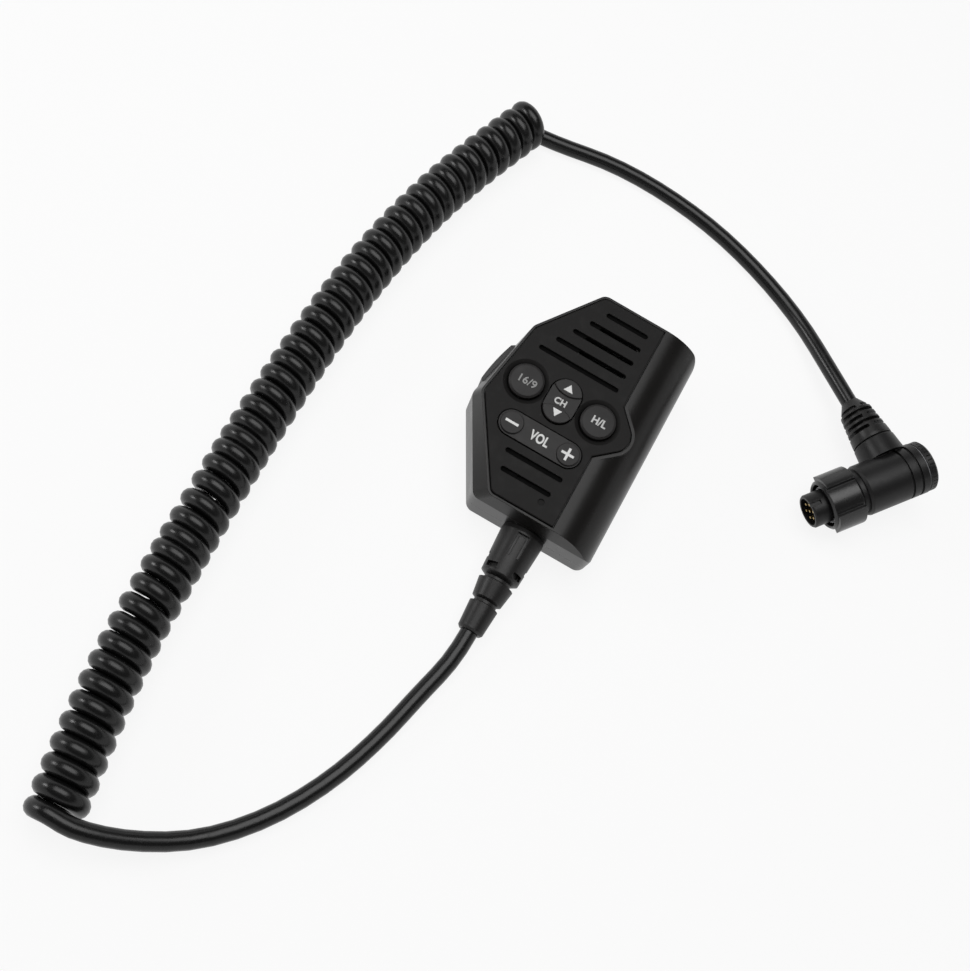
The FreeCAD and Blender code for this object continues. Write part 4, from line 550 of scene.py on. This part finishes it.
def mesh_object(name, build):
    """A mesh object with the shape of a bmesh, which is freed."""
    mesh = bpy.data.meshes.new(name)
    build.to_mesh(mesh)
    build.free()
    return link(bpy.data.objects.new(name, mesh))


def as_mesh(item, name):
    """A plain mesh object of what an object looks like with its modifiers; the first one goes."""
    bpy.context.view_layer.update()
    seen = item.evaluated_get(bpy.context.evaluated_depsgraph_get())
    mesh = bpy.data.meshes.new_from_object(seen)
    mesh.name = name
    bpy.data.objects.remove(item)
    return link(bpy.data.objects.new(name, mesh))


def curve_points(points):
    """Points along the smooth line that a route's points steer, close together."""
    curve = bpy.data.curves.new("route", "CURVE")
    curve.dimensions = "3D"
    curve.resolution_u = 24
    spline = curve.splines.new("NURBS")
    spline.points.add(len(points) - 1)
    for point, place in zip(spline.points, points):
        point.co = (*place, 1)
    spline.order_u = 3
    spline.use_endpoint_u = True
    item = link(bpy.data.objects.new("route", curve))
    bpy.context.view_layer.update()
    seen = item.evaluated_get(bpy.context.evaluated_depsgraph_get())
    mesh = bpy.data.meshes.new_from_object(seen)
    line = [vertex.co.copy() for vertex in mesh.vertices]
    bpy.data.meshes.remove(mesh)
    bpy.data.objects.remove(item)
    bpy.data.curves.remove(curve)
    return line


# ---------------------------------------------------------------- stage

class HANDMIC_OT_stage(bpy.types.Operator):
    """Lays the pale floor, hangs the lamps and sets up the camera"""

    bl_idname = "handmic.stage"
    bl_label = "Stage"

    # The floor: its middle disc, the bend up to the backdrop, and how finely both are divided.
    DISC_RADIUS = 0.6
    BEND_RADIUS = 0.5
    BEND_STEPS = 8
    SEGMENTS = 96
    # Where each lamp hangs, and its length and width.
    MAIN_LAMP = ((-0.1, 0.1, 1.0), (1.0, 0.7))
    SECOND_LAMP = ((-0.95, -0.2, 0.45), (0.26, 0.26))

    def execute(self, context):
        settings = context.scene.handmic_stage
        self.lay_floor(settings)
        self.light_room(settings)
        self.set_camera(settings)
        context.scene.view_settings.view_transform = "Standard"
        return {"FINISHED"}

    def lay_floor(self, settings):
        """A round floor whose rim turns up into a backdrop."""
        bend = self.BEND_RADIUS
        flat = settings.floor_radius - bend
        profile = [(self.DISC_RADIUS, 0.0), (flat, 0.0)]
        for step in range(1, self.BEND_STEPS + 1):
            angle = math.pi / 2 * step / self.BEND_STEPS
            profile.append((flat + bend * math.sin(angle), bend - bend * math.cos(angle)))
        profile.append((settings.floor_radius, settings.wall_height))
        build = bmesh.new()
        angles = [math.tau * step / self.SEGMENTS for step in range(self.SEGMENTS)]
        rings = [[build.verts.new((radius * math.cos(angle), radius * math.sin(angle), height))
                  for angle in angles] for radius, height in profile]
        build.faces.new(rings[0])
        for inner, outer in zip(rings, rings[1:]):
            for step in range(self.SEGMENTS):
                after = (step + 1) % self.SEGMENTS
                face = build.faces.new((inner[step], outer[step], outer[after], inner[after]))
                face.smooth = True
        floor = mesh_object("floor", build)
        floor.data.materials.append(self.floor_paint(settings))

    def floor_paint(self, settings):
        """Pale paper that stays pale to the eye, in reflections and through clear parts."""
        finish = Finish("floor_white", Roughness=0.9, Specular_IOR_Level=0.1)
        pale = tuple(settings.floor_colour)
        finish.apply(Base_Color=finish.mix(finish.noise(0.4), shade(pale, 0.97), pale))
        rays = [finish.node("ShaderNodeLightPath", {}, {}, ray)
                for ray in ("Is Camera Ray", "Is Glossy Ray", "Is Transmission Ray")]
        share = (rays[0] + rays[1] + rays[2]) * settings.floor_glow
        glow = finish.node("ShaderNodeEmission", {}, {"Color": (1, 1, 1, 1), "Strength": 1.0})
        surface = finish.node("ShaderNodeMixShader", {}, {
            0: share, 1: Wire(finish, finish.shader.outputs[0]), 2: glow})
        finish.feed(finish.tree.nodes["Material Output"].inputs["Surface"], surface)
        return finish.material

    def light_room(self, settings):
        """Even light from all round, and two soft lamps."""
        world = bpy.data.worlds.new("room")
        world.use_nodes = True
        bpy.context.scene.world = world
        background = world.node_tree.nodes["Background"]
        background.inputs["Color"].default_value = (1, 1, 1, 1)
        background.inputs["Strength"].default_value = settings.sky_strength
        self.hang_lamp("main_lamp", *self.MAIN_LAMP, settings.key_power)
        self.hang_lamp("second_lamp", *self.SECOND_LAMP, settings.fill_power)

    def hang_lamp(self, name, place, size, power):
        """A soft box that faces the middle of the floor, its long side from left to right."""
        lamp = bpy.data.lights.new(name, "AREA")
        lamp.shape = "RECTANGLE"
        lamp.size, lamp.size_y = size
        lamp.energy = power
        item = link(bpy.data.objects.new(name, lamp))
        back = Vector(place).normalized()
        across = Vector((0, 1, 0)).cross(back).normalized()
        axes = Matrix((across, back.cross(across), back)).transposed()
        item.matrix_world = Matrix.Translation(place) @ axes.to_4x4()

    def set_camera(self, settings):
        """A camera that looks down on the aim from the near side."""
        camera = bpy.data.cameras.new("camera")
        camera.lens = settings.lens
        camera.sensor_width = 36
        camera.clip_start = 0.01
        item = link(bpy.data.objects.new("camera", camera))
        back = Vector((0, -math.cos(settings.elevation), math.sin(settings.elevation)))
        right = Vector((1, 0, 0))
        level = Matrix((right, back.cross(right), back)).transposed()
        turn = level @ Matrix.Rotation(settings.roll, 3, "Z")
        eye = Vector(settings.aim) + back * settings.distance
        item.matrix_world = Matrix.Translation(eye) @ turn.to_4x4()
        bpy.context.scene.camera = item


# ---------------------------------------------------------------- case

class HANDMIC_OT_case(bpy.types.Operator):
    """Finishes the shells, the face panel, the talk lever and what they hold"""

    bl_idname = "handmic.case"
    bl_label = "Case and face panel"

    def execute(self, context):
        finish_nodes(["casing_black", "panel_charcoal", "lever_black", "stud_black",
                      "silicone_grey", "board_green", "switch_metal", "frame_steel", "cone_black",
                      "mesh_black", "part_black", "lead_plastic"], context.scene.handmic_case)
        return {"FINISHED"}


class HANDMIC_OT_cloth(bpy.types.Operator):
    """Weaves the speaker's wire cloth and crimps its rim"""

    bl_idname = "handmic.cloth"
    bl_label = "Speaker cloth"

    # The middle of the cloth in the case's own frame and its radius, in millimetres.
    MIDDLE = (6.0, 28.0, 25.85)
    RADIUS = 13.45
    # Sides of a wire, points that draw it from one crossing to the next, and the rim's segments
    # and sides.
    WIRE_SIDES = 5
    WIRE_POINTS = 4.0
    RIM_SEGMENTS = 96
    RIM_SIDES = 8

    def execute(self, context):
        settings = context.scene.handmic_case
        mesh = bpy.data.meshes.new("speaker_cloth")
        start = link(bpy.data.objects.new("speaker_cloth", mesh))
        weave = start.modifiers.new("weave", "NODES")
        weave.node_group = self.weave(material_named("mesh_black"))
        numbers = {"Radius": self.RADIUS * MM, "Pitch": settings.wire_pitch,
                   "Wire": settings.wire_diameter}
        for socket in weave.node_group.interface.items_tree:
            if socket.name in numbers:
                weave[socket.identifier] = numbers[socket.name]
        cloth = as_mesh(start, "speaker_cloth")
        cloth.data.transform(CASE @ Matrix.Translation(Vector(self.MIDDLE) * MM))
        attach(cloth, "handset_and_cord")
        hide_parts("speaker_mesh")
        return {"FINISHED"}

    def weave(self, material):
        """A round plain weave: two sets of wires that pass over and under each other."""
        tree = bpy.data.node_groups.new("plain_weave", "GeometryNodeTree")
        tree.is_modifier = True
        sockets = tree.interface
        sockets.new_socket("Geometry", in_out="INPUT", socket_type="NodeSocketGeometry")
        sizes = ("Radius", "Pitch", "Wire")
        for name in sizes:
            sockets.new_socket(name, in_out="INPUT", socket_type="NodeSocketFloat")
        sockets.new_socket("Geometry", in_out="OUTPUT", socket_type="NodeSocketGeometry")
        build = Nodes(tree)
        given = tree.nodes.new("NodeGroupInput")
        radius, pitch, wire = (Wire(build, given.outputs[name]) for name in sizes)
        position = build.node("GeometryNodeInputPosition", {}, {})
        x = build.node("ShaderNodeSeparateXYZ", {}, {0: position})
        y = Wire(build, x.socket.node.outputs["Y"])
        wave = (x / pitch * math.pi).cosine() * (y / pitch * math.pi).cosine() * wire * 0.5

        def circle(sides, size):
            return build.node("GeometryNodeCurvePrimitiveCircle", {}, {
                "Resolution": sides, "Radius": size})

        section = circle(self.WIRE_SIDES, wire / 2)
        count = radius / pitch * 2.0 + 1.0
        sets = [self.wires(build, radius, pitch, count, section, across, height)
                for across, height in ((False, wave), (True, 0.0 - wave))]
        sets.append(build.node("GeometryNodeCurveToMesh", {}, {
            "Curve": circle(self.RIM_SEGMENTS, radius),
            "Profile Curve": circle(self.RIM_SIDES, wire * 0.6)}))
        joined = tree.nodes.new("GeometryNodeJoinGeometry")
        for part in sets:
            tree.links.new(part.socket, joined.inputs[0])
        whole = build.node("GeometryNodeRealizeInstances", {}, {0: Wire(build, joined.outputs[0])})
        painted = build.node("GeometryNodeSetMaterial", {}, {
            "Geometry": whole, "Material": material})
        build.feed(tree.nodes.new("NodeGroupOutput").inputs[0], painted)
        return tree

    def wires(self, build, radius, pitch, count, section, across, height):
        """One set of wavy wires, cut to the round of the rim."""
        def direction(one, other):
            parts = (one, other) if across else (other, one)
            return build.node("ShaderNodeCombineXYZ", {}, dict(enumerate(parts)))

        origin = direction(0.0, 0.0)
        line = build.node("GeometryNodeMeshLine", {}, {
            "Count": count * self.WIRE_POINTS, "Start Location": origin,
            "Offset": direction(0.0, pitch / self.WIRE_POINTS)})
        rows = build.node("GeometryNodeMeshLine", {}, {
            "Count": count, "Start Location": origin, "Offset": direction(pitch, 0.0)})
        copies = build.node("GeometryNodeInstanceOnPoints", {}, {"Points": rows, "Instance": line})
        laid = build.node("GeometryNodeRealizeInstances", {}, {0: copies})
        middle = 0.0 - (count / 2.0).whole() * pitch
        centring = build.node("ShaderNodeCombineXYZ", {}, {0: middle, 1: middle})
        laid = build.node("GeometryNodeSetPosition", {}, {"Geometry": laid, "Offset": centring})
        away = build.node("ShaderNodeVectorMath", {"operation": "LENGTH"},
                          {0: build.node("GeometryNodeInputPosition", {}, {})}, "Value")
        outside = build.node("FunctionNodeCompare",
                             {"data_type": "FLOAT", "operation": "GREATER_THAN"},
                             {0: away, 1: radius})
        round_cut = build.node("GeometryNodeDeleteGeometry", {"domain": "POINT"}, {
            "Geometry": laid, "Selection": outside})
        lift = build.node("ShaderNodeCombineXYZ", {}, {2: height})
        wavy = build.node("GeometryNodeSetPosition", {}, {"Geometry": round_cut, "Offset": lift})
        curve = build.node("GeometryNodeMeshToCurve", {}, {0: wavy})
        return build.node("GeometryNodeCurveToMesh", {}, {
            "Curve": curve, "Profile Curve": section, "Fill Caps": True})


class HANDMIC_OT_felt(bpy.types.Operator):
    """Lays the black felt that keeps spray off the microphone under its sound slot"""

    bl_idname = "handmic.felt"
    bl_label = "Microphone felt"

    # The middle of the felt in the case's own frame, how far out its two round ends are centred,
    # their radius, and the felt's thickness, in millimetres.
    MIDDLE = (3.0, -34.5, 28.62)
    REACH = 3.05
    END_RADIUS = 0.92
    THICKNESS = 0.3
    ARC_STEPS = 10

    def execute(self, context):
        build = bmesh.new()
        outline = []
        for side in (1, -1):
            for step in range(self.ARC_STEPS + 1):
                angle = math.pi * (step / self.ARC_STEPS - 0.5)
                outline.append((side * (self.REACH + self.END_RADIUS * math.cos(angle)),
                                side * self.END_RADIUS * math.sin(angle)))
        # Height and share of the outline: the felt's top edge is eased.
        levels = ((0.0, 1.0), (0.75 * self.THICKNESS, 1.0), (self.THICKNESS, 0.93))
        rings = [[build.verts.new((x * size, y * size, height)) for x, y in outline]
                 for height, size in levels]
        build.faces.new(reversed(rings[0]))
        build.faces.new(rings[-1])
        for low, high in zip(rings, rings[1:]):
            for step, vertex in enumerate(low):
                after = (step + 1) % len(low)
                build.faces.new((vertex, low[after], high[after], high[step]))
        felt = mesh_object("microphone_felt", build)
        place = CASE @ Matrix.Translation(Vector(self.MIDDLE) * MM)
        felt.data.transform(place @ Matrix.Scale(MM, 4))
        felt.data.materials.append(felt_finish())
        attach(felt, "handset_and_cord")
        return {"FINISHED"}


# ---------------------------------------------------------------- cord

class HANDMIC_OT_cord(bpy.types.Operator):
    """Draws the curly cord from the strain relief to the plug, as one smooth line"""

    bl_idname = "handmic.cord"
    bl_label = "Curly cord"

    # The whole cord's length along its middle line, in metres, and the pieces on its two ends.
    LENGTH = 2.51
    PIECES = ("cord_boot", "cord_end_in_boot", "plug_boot", "cord_end_in_plug", "plug_body",
              "plug_cap", "cap_seal", "plug_nose", "contact_insert", "contact_pins", "nose_seal",
              "coupling_ring")
    # The seed and number of the slow waves that make the turns lie unevenly.
    SEED = 7
    WAVES = 4

    def execute(self, context):
        settings = context.scene.handmic_cord
        finish_nodes(["cord_jacket"], settings)
        before = [Vector(point) * MM for point in HANDSET_SIDE]
        after = [Vector(point) * MM for point in PLUG_SIDE]
        turns = self.turns(settings)
        points = before + turns + after
        curve = bpy.data.curves.new("curly_cord", "CURVE")
        curve.dimensions = "3D"
        curve.resolution_u = 3
        curve.bevel_depth = CORD_DIAMETER / 2
        curve.bevel_resolution = 5
        curve.use_fill_caps = True
        spline = curve.splines.new("NURBS")
        spline.points.add(len(points) - 1)
        first, last = len(before), len(before) + len(turns) - 1
        for index, (point, place) in enumerate(zip(spline.points, points)):
            point.co = (*place, 1)
            turns_inside = min(index - first, last - index) / settings.turn_points
            point.radius = 1 + settings.swell * min(max(turns_inside, 0.0), 1.0)
        spline.order_u = 3
        spline.use_endpoint_u = True
        spline.use_smooth = True
        cord = link(bpy.data.objects.new("curly_cord", curve))
        curve.materials.append(material_named("cord_jacket"))
        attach(cord, "handset_and_cord")
        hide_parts("cord_handset_side", "cord_coil", "cord_plug_side")
        return {"FINISHED"}

    def turns(self, settings):
        """A left-handed helix round the coil's middle line, from its top to its underside."""
        line = curve_points([Vector(point) * MM for point in COIL])
        reach = [0.0]
        for start, end in zip(line, line[1:]):
            reach.append(reach[-1] + (end - start).length)
        dice = random.Random(self.SEED)
        # How often each wave comes along the coil, and where in its course it begins.
        waves = [(dice.uniform(2.0, 12.0), dice.uniform(0, math.tau)) for _ in range(self.WAVES)]
        all_turns = settings.turns + 0.5
        count = int(all_turns * settings.turn_points)
        # The smooth line runs inside its points, so they stand out by this much more.
        stand_out = 1 / math.cos(math.pi / settings.turn_points) ** 2
        jacket = CORD_DIAMETER * (1 + settings.swell)
        radius = (COIL_DIAMETER - jacket) / 2 * (1 + stand_out) / 2
        wave_height = settings.looseness * reach[-1] / all_turns
        points = []
        here = 0
        for index in range(count + 1):
            share = index / count
            drift = sum(math.sin(math.tau * share * often + start) for often, start in waves)
            ease = math.sin(math.pi * share)
            along = share * reach[-1] + drift * ease * wave_height
            # Kept a hair short of the end, where the line has no further stretch.
            along = min(max(along, 0.0), reach[-1] - 1e-9)
            while reach[here + 1] < along:
                here += 1
            while reach[here] > along:
                here -= 1
            part = (along - reach[here]) / (reach[here + 1] - reach[here])
            middle = line[here].lerp(line[here + 1], part)
            forward = (line[here + 1] - line[here]).normalized()
            east = forward.cross(Vector((0, 0, 1))).normalized()
            up = east.cross(forward)
            angle = math.pi / 2 + math.tau * all_turns * share
            points.append(middle + radius * (math.cos(angle) * east + math.sin(angle) * up))
        return points


# ---------------------------------------------------------------- plug and strain reliefs

class HANDMIC_OT_plug(bpy.types.Operator):
    """Finishes the strain reliefs, the plug, its ring and its contacts"""

    bl_idname = "handmic.plug"
    bl_label = "Strain reliefs and plug"

    def execute(self, context):
        finish_nodes(["relief_rubber", "plug_black", "ring_black", "contact_gold"],
                     context.scene.handmic_cord)
        return {"FINISHED"}


# ---------------------------------------------------------------- keys and legends

class HANDMIC_OT_legends(bpy.types.Operator):
    """Finishes the keys and prints their plain legends"""

    bl_idname = "handmic.legends"
    bl_label = "Keys and legends"

    # How finely a legend is diced, a height above every key, how deep the print is let in, and
    # how wide the letters stand apart.
    CUT = 0.5 * MM
    ABOVE_KEYS = 60 * MM
    LET_IN = 0.06 * MM
    SPACING = 1.04
    # Body, what it says, centre on the face, width and height in millimetres, how bold, how fresh.
    WORDS = (
        ("channel_sixteen_key", "16/9", (-14.9, -0.2), (7.2, 3.2), 0.019, 0.4),
        ("power_level_key", "H/L", (16.0, -0.1), (6.0, 3.2), 0.036, 0.75),
        ("channel_rocker", "CH", (-0.5, -0.5), (4.9, 2.8), 0.040, 0.8),
        ("volume_rocker", "VOL", (-0.5, -17.4), (7.9, 4.1), 0.036, 0.95),
    )
    # Body, name, centre and outline of a sign in millimetres.
    SIGNS = (
        ("channel_rocker", "up", (0.0, 5.7), ((-1.9, -1.45), (1.9, -1.45), (0.0, 1.55))),
        ("channel_rocker", "down", (0.0, -5.5), ((-1.9, 1.45), (0.0, -1.55), (1.9, 1.45))),
        ("volume_rocker", "minus", (-12.4, -17.5), (
            (-2.7, -0.5), (2.7, -0.5), (2.7, 0.5), (-2.7, 0.5))),
        ("volume_rocker", "plus", (11.4, -17.5), (
            (-0.5, -2.6), (0.5, -2.6), (0.5, -0.5), (2.6, -0.5), (2.6, 0.5), (0.5, 0.5),
            (0.5, 2.6), (-0.5, 2.6), (-0.5, 0.5), (-2.6, 0.5), (-2.6, -0.5), (-0.5, -0.5))),
    )

    def execute(self, context):
        settings = context.scene.handmic_case
        finish_nodes(["key_rubber"], settings)
        for body, words, centre, size, weight, fresh in self.WORDS:
            ink = legend_finish(settings, f"legend_print_{body}", fresh)
            flat = self.letters(words, size, weight)
            self.set_down(flat, f"legend_{body}", body, centre, settings.legend_proud, ink)
        ink = legend_finish(settings, "legend_print_signs", 1.0)
        for body, name, centre, outline in self.SIGNS:
            flat = bmesh.new()
            flat.faces.new([flat.verts.new((x * MM, y * MM, 0)) for x, y in outline])
            self.set_down(flat, f"legend_{name}", body, centre, settings.legend_proud, ink)
        return {"FINISHED"}

    def letters(self, words, size, weight):
        """Flat bold letters, their middle at the origin."""
        text = bpy.data.curves.new("letters", "FONT")
        text.body = words
        text.offset = weight
        text.space_character = self.SPACING
        item = as_mesh(link(bpy.data.objects.new("letters", text)), "letters_flat")
        flat = bmesh.new()
        flat.from_mesh(item.data)
        bpy.data.objects.remove(item)
        for axis, length in enumerate(size):
            low = min(vertex.co[axis] for vertex in flat.verts)
            high = max(vertex.co[axis] for vertex in flat.verts)
            for vertex in flat.verts:
                vertex.co[axis] = (vertex.co[axis] - (low + high) / 2) * length * MM / (high - low)
        return flat

    def set_down(self, flat, name, body, centre, proud, ink):
        """Dices a flat legend, drops it on its key's surface and gives it a thin body of ink."""
        for axis in (0, 1):
            reach = max(abs(vertex.co[axis]) for vertex in flat.verts)
            steps = math.ceil(reach / self.CUT)
            for step in range(-steps, steps + 1):
                place = Vector()
                place[axis] = step * self.CUT
                normal = Vector()
                normal[axis] = 1
                everything = flat.verts[:] + flat.edges[:] + flat.faces[:]
                bmesh.ops.bisect_plane(flat, geom=everything, dist=1e-7, plane_co=place,
                                       plane_no=normal)
        bmesh.ops.triangulate(flat, faces=flat.faces[:])
        key = frame["nodes"][body]
        surface = BVHTree.FromPolygons([vertex.co for vertex in key.data.vertices],
                                       [face.vertices for face in key.data.polygons])
        for vertex in flat.verts:
            above = CASE @ Vector((vertex.co.x + centre[0] * MM, vertex.co.y + centre[1] * MM,
                                   self.ABOVE_KEYS))
            touched = surface.ray_cast(above, FACE_INWARDS)[0]
            if touched is None:
                raise RuntimeError(f"{name} reaches past its key")
            vertex.co = touched - FACE_INWARDS * proud
        for face in flat.faces:
            face.normal_update()
            if face.normal.dot(FACE_INWARDS) > 0:
                face.normal_flip()
        legend = mesh_object(name, flat)
        thick = legend.modifiers.new("thickness", "SOLIDIFY")
        thick.thickness = proud + self.LET_IN
        thick.offset = -1
        legend = as_mesh(legend, name)
        legend.data.materials.append(ink)
        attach(legend, body)


# ---------------------------------------------------------------- panel and running order

OPERATORS = (HANDMIC_OT_stage, HANDMIC_OT_case, HANDMIC_OT_cloth, HANDMIC_OT_felt,
             HANDMIC_OT_cord, HANDMIC_OT_plug, HANDMIC_OT_legends)
SETTINGS = {
    "handmic_stage": StageSettings,
    "handmic_case": CaseSettings,
    "handmic_cord": CordSettings,
}


class HANDMIC_PT_sidebar(bpy.types.Panel):
    """Lists the sizes and colours, and the steps that use them"""

    bl_idname = "HANDMIC_PT_sidebar"
    bl_label = "Hand microphone"
    bl_space_type = "VIEW_3D"
    bl_region_type = "UI"
    bl_category = "Hand microphone"

    def draw(self, context):
        for name, group in SETTINGS.items():
            box = self.layout.box()
            for setting in group.__annotations__:
                box.prop(getattr(context.scene, name), setting)
        for operator in OPERATORS:
            self.layout.operator(operator.bl_idname)


def register():
    for item in (*SETTINGS.values(), *OPERATORS, HANDMIC_PT_sidebar):
        bpy.utils.register_class(item)
    for name, group in SETTINGS.items():
        setattr(bpy.types.Scene, name, PointerProperty(type=group))


def unregister():
    for name in SETTINGS:
        delattr(bpy.types.Scene, name)
    for item in (HANDMIC_PT_sidebar, *reversed(OPERATORS), *SETTINGS.values()):
        bpy.utils.unregister_class(item)


def main():
    register()
    for operator in OPERATORS:
        group, name = operator.bl_idname.split(".")
        getattr(getattr(bpy.ops, group), name)()


if __name__ == "__main__":
    main()
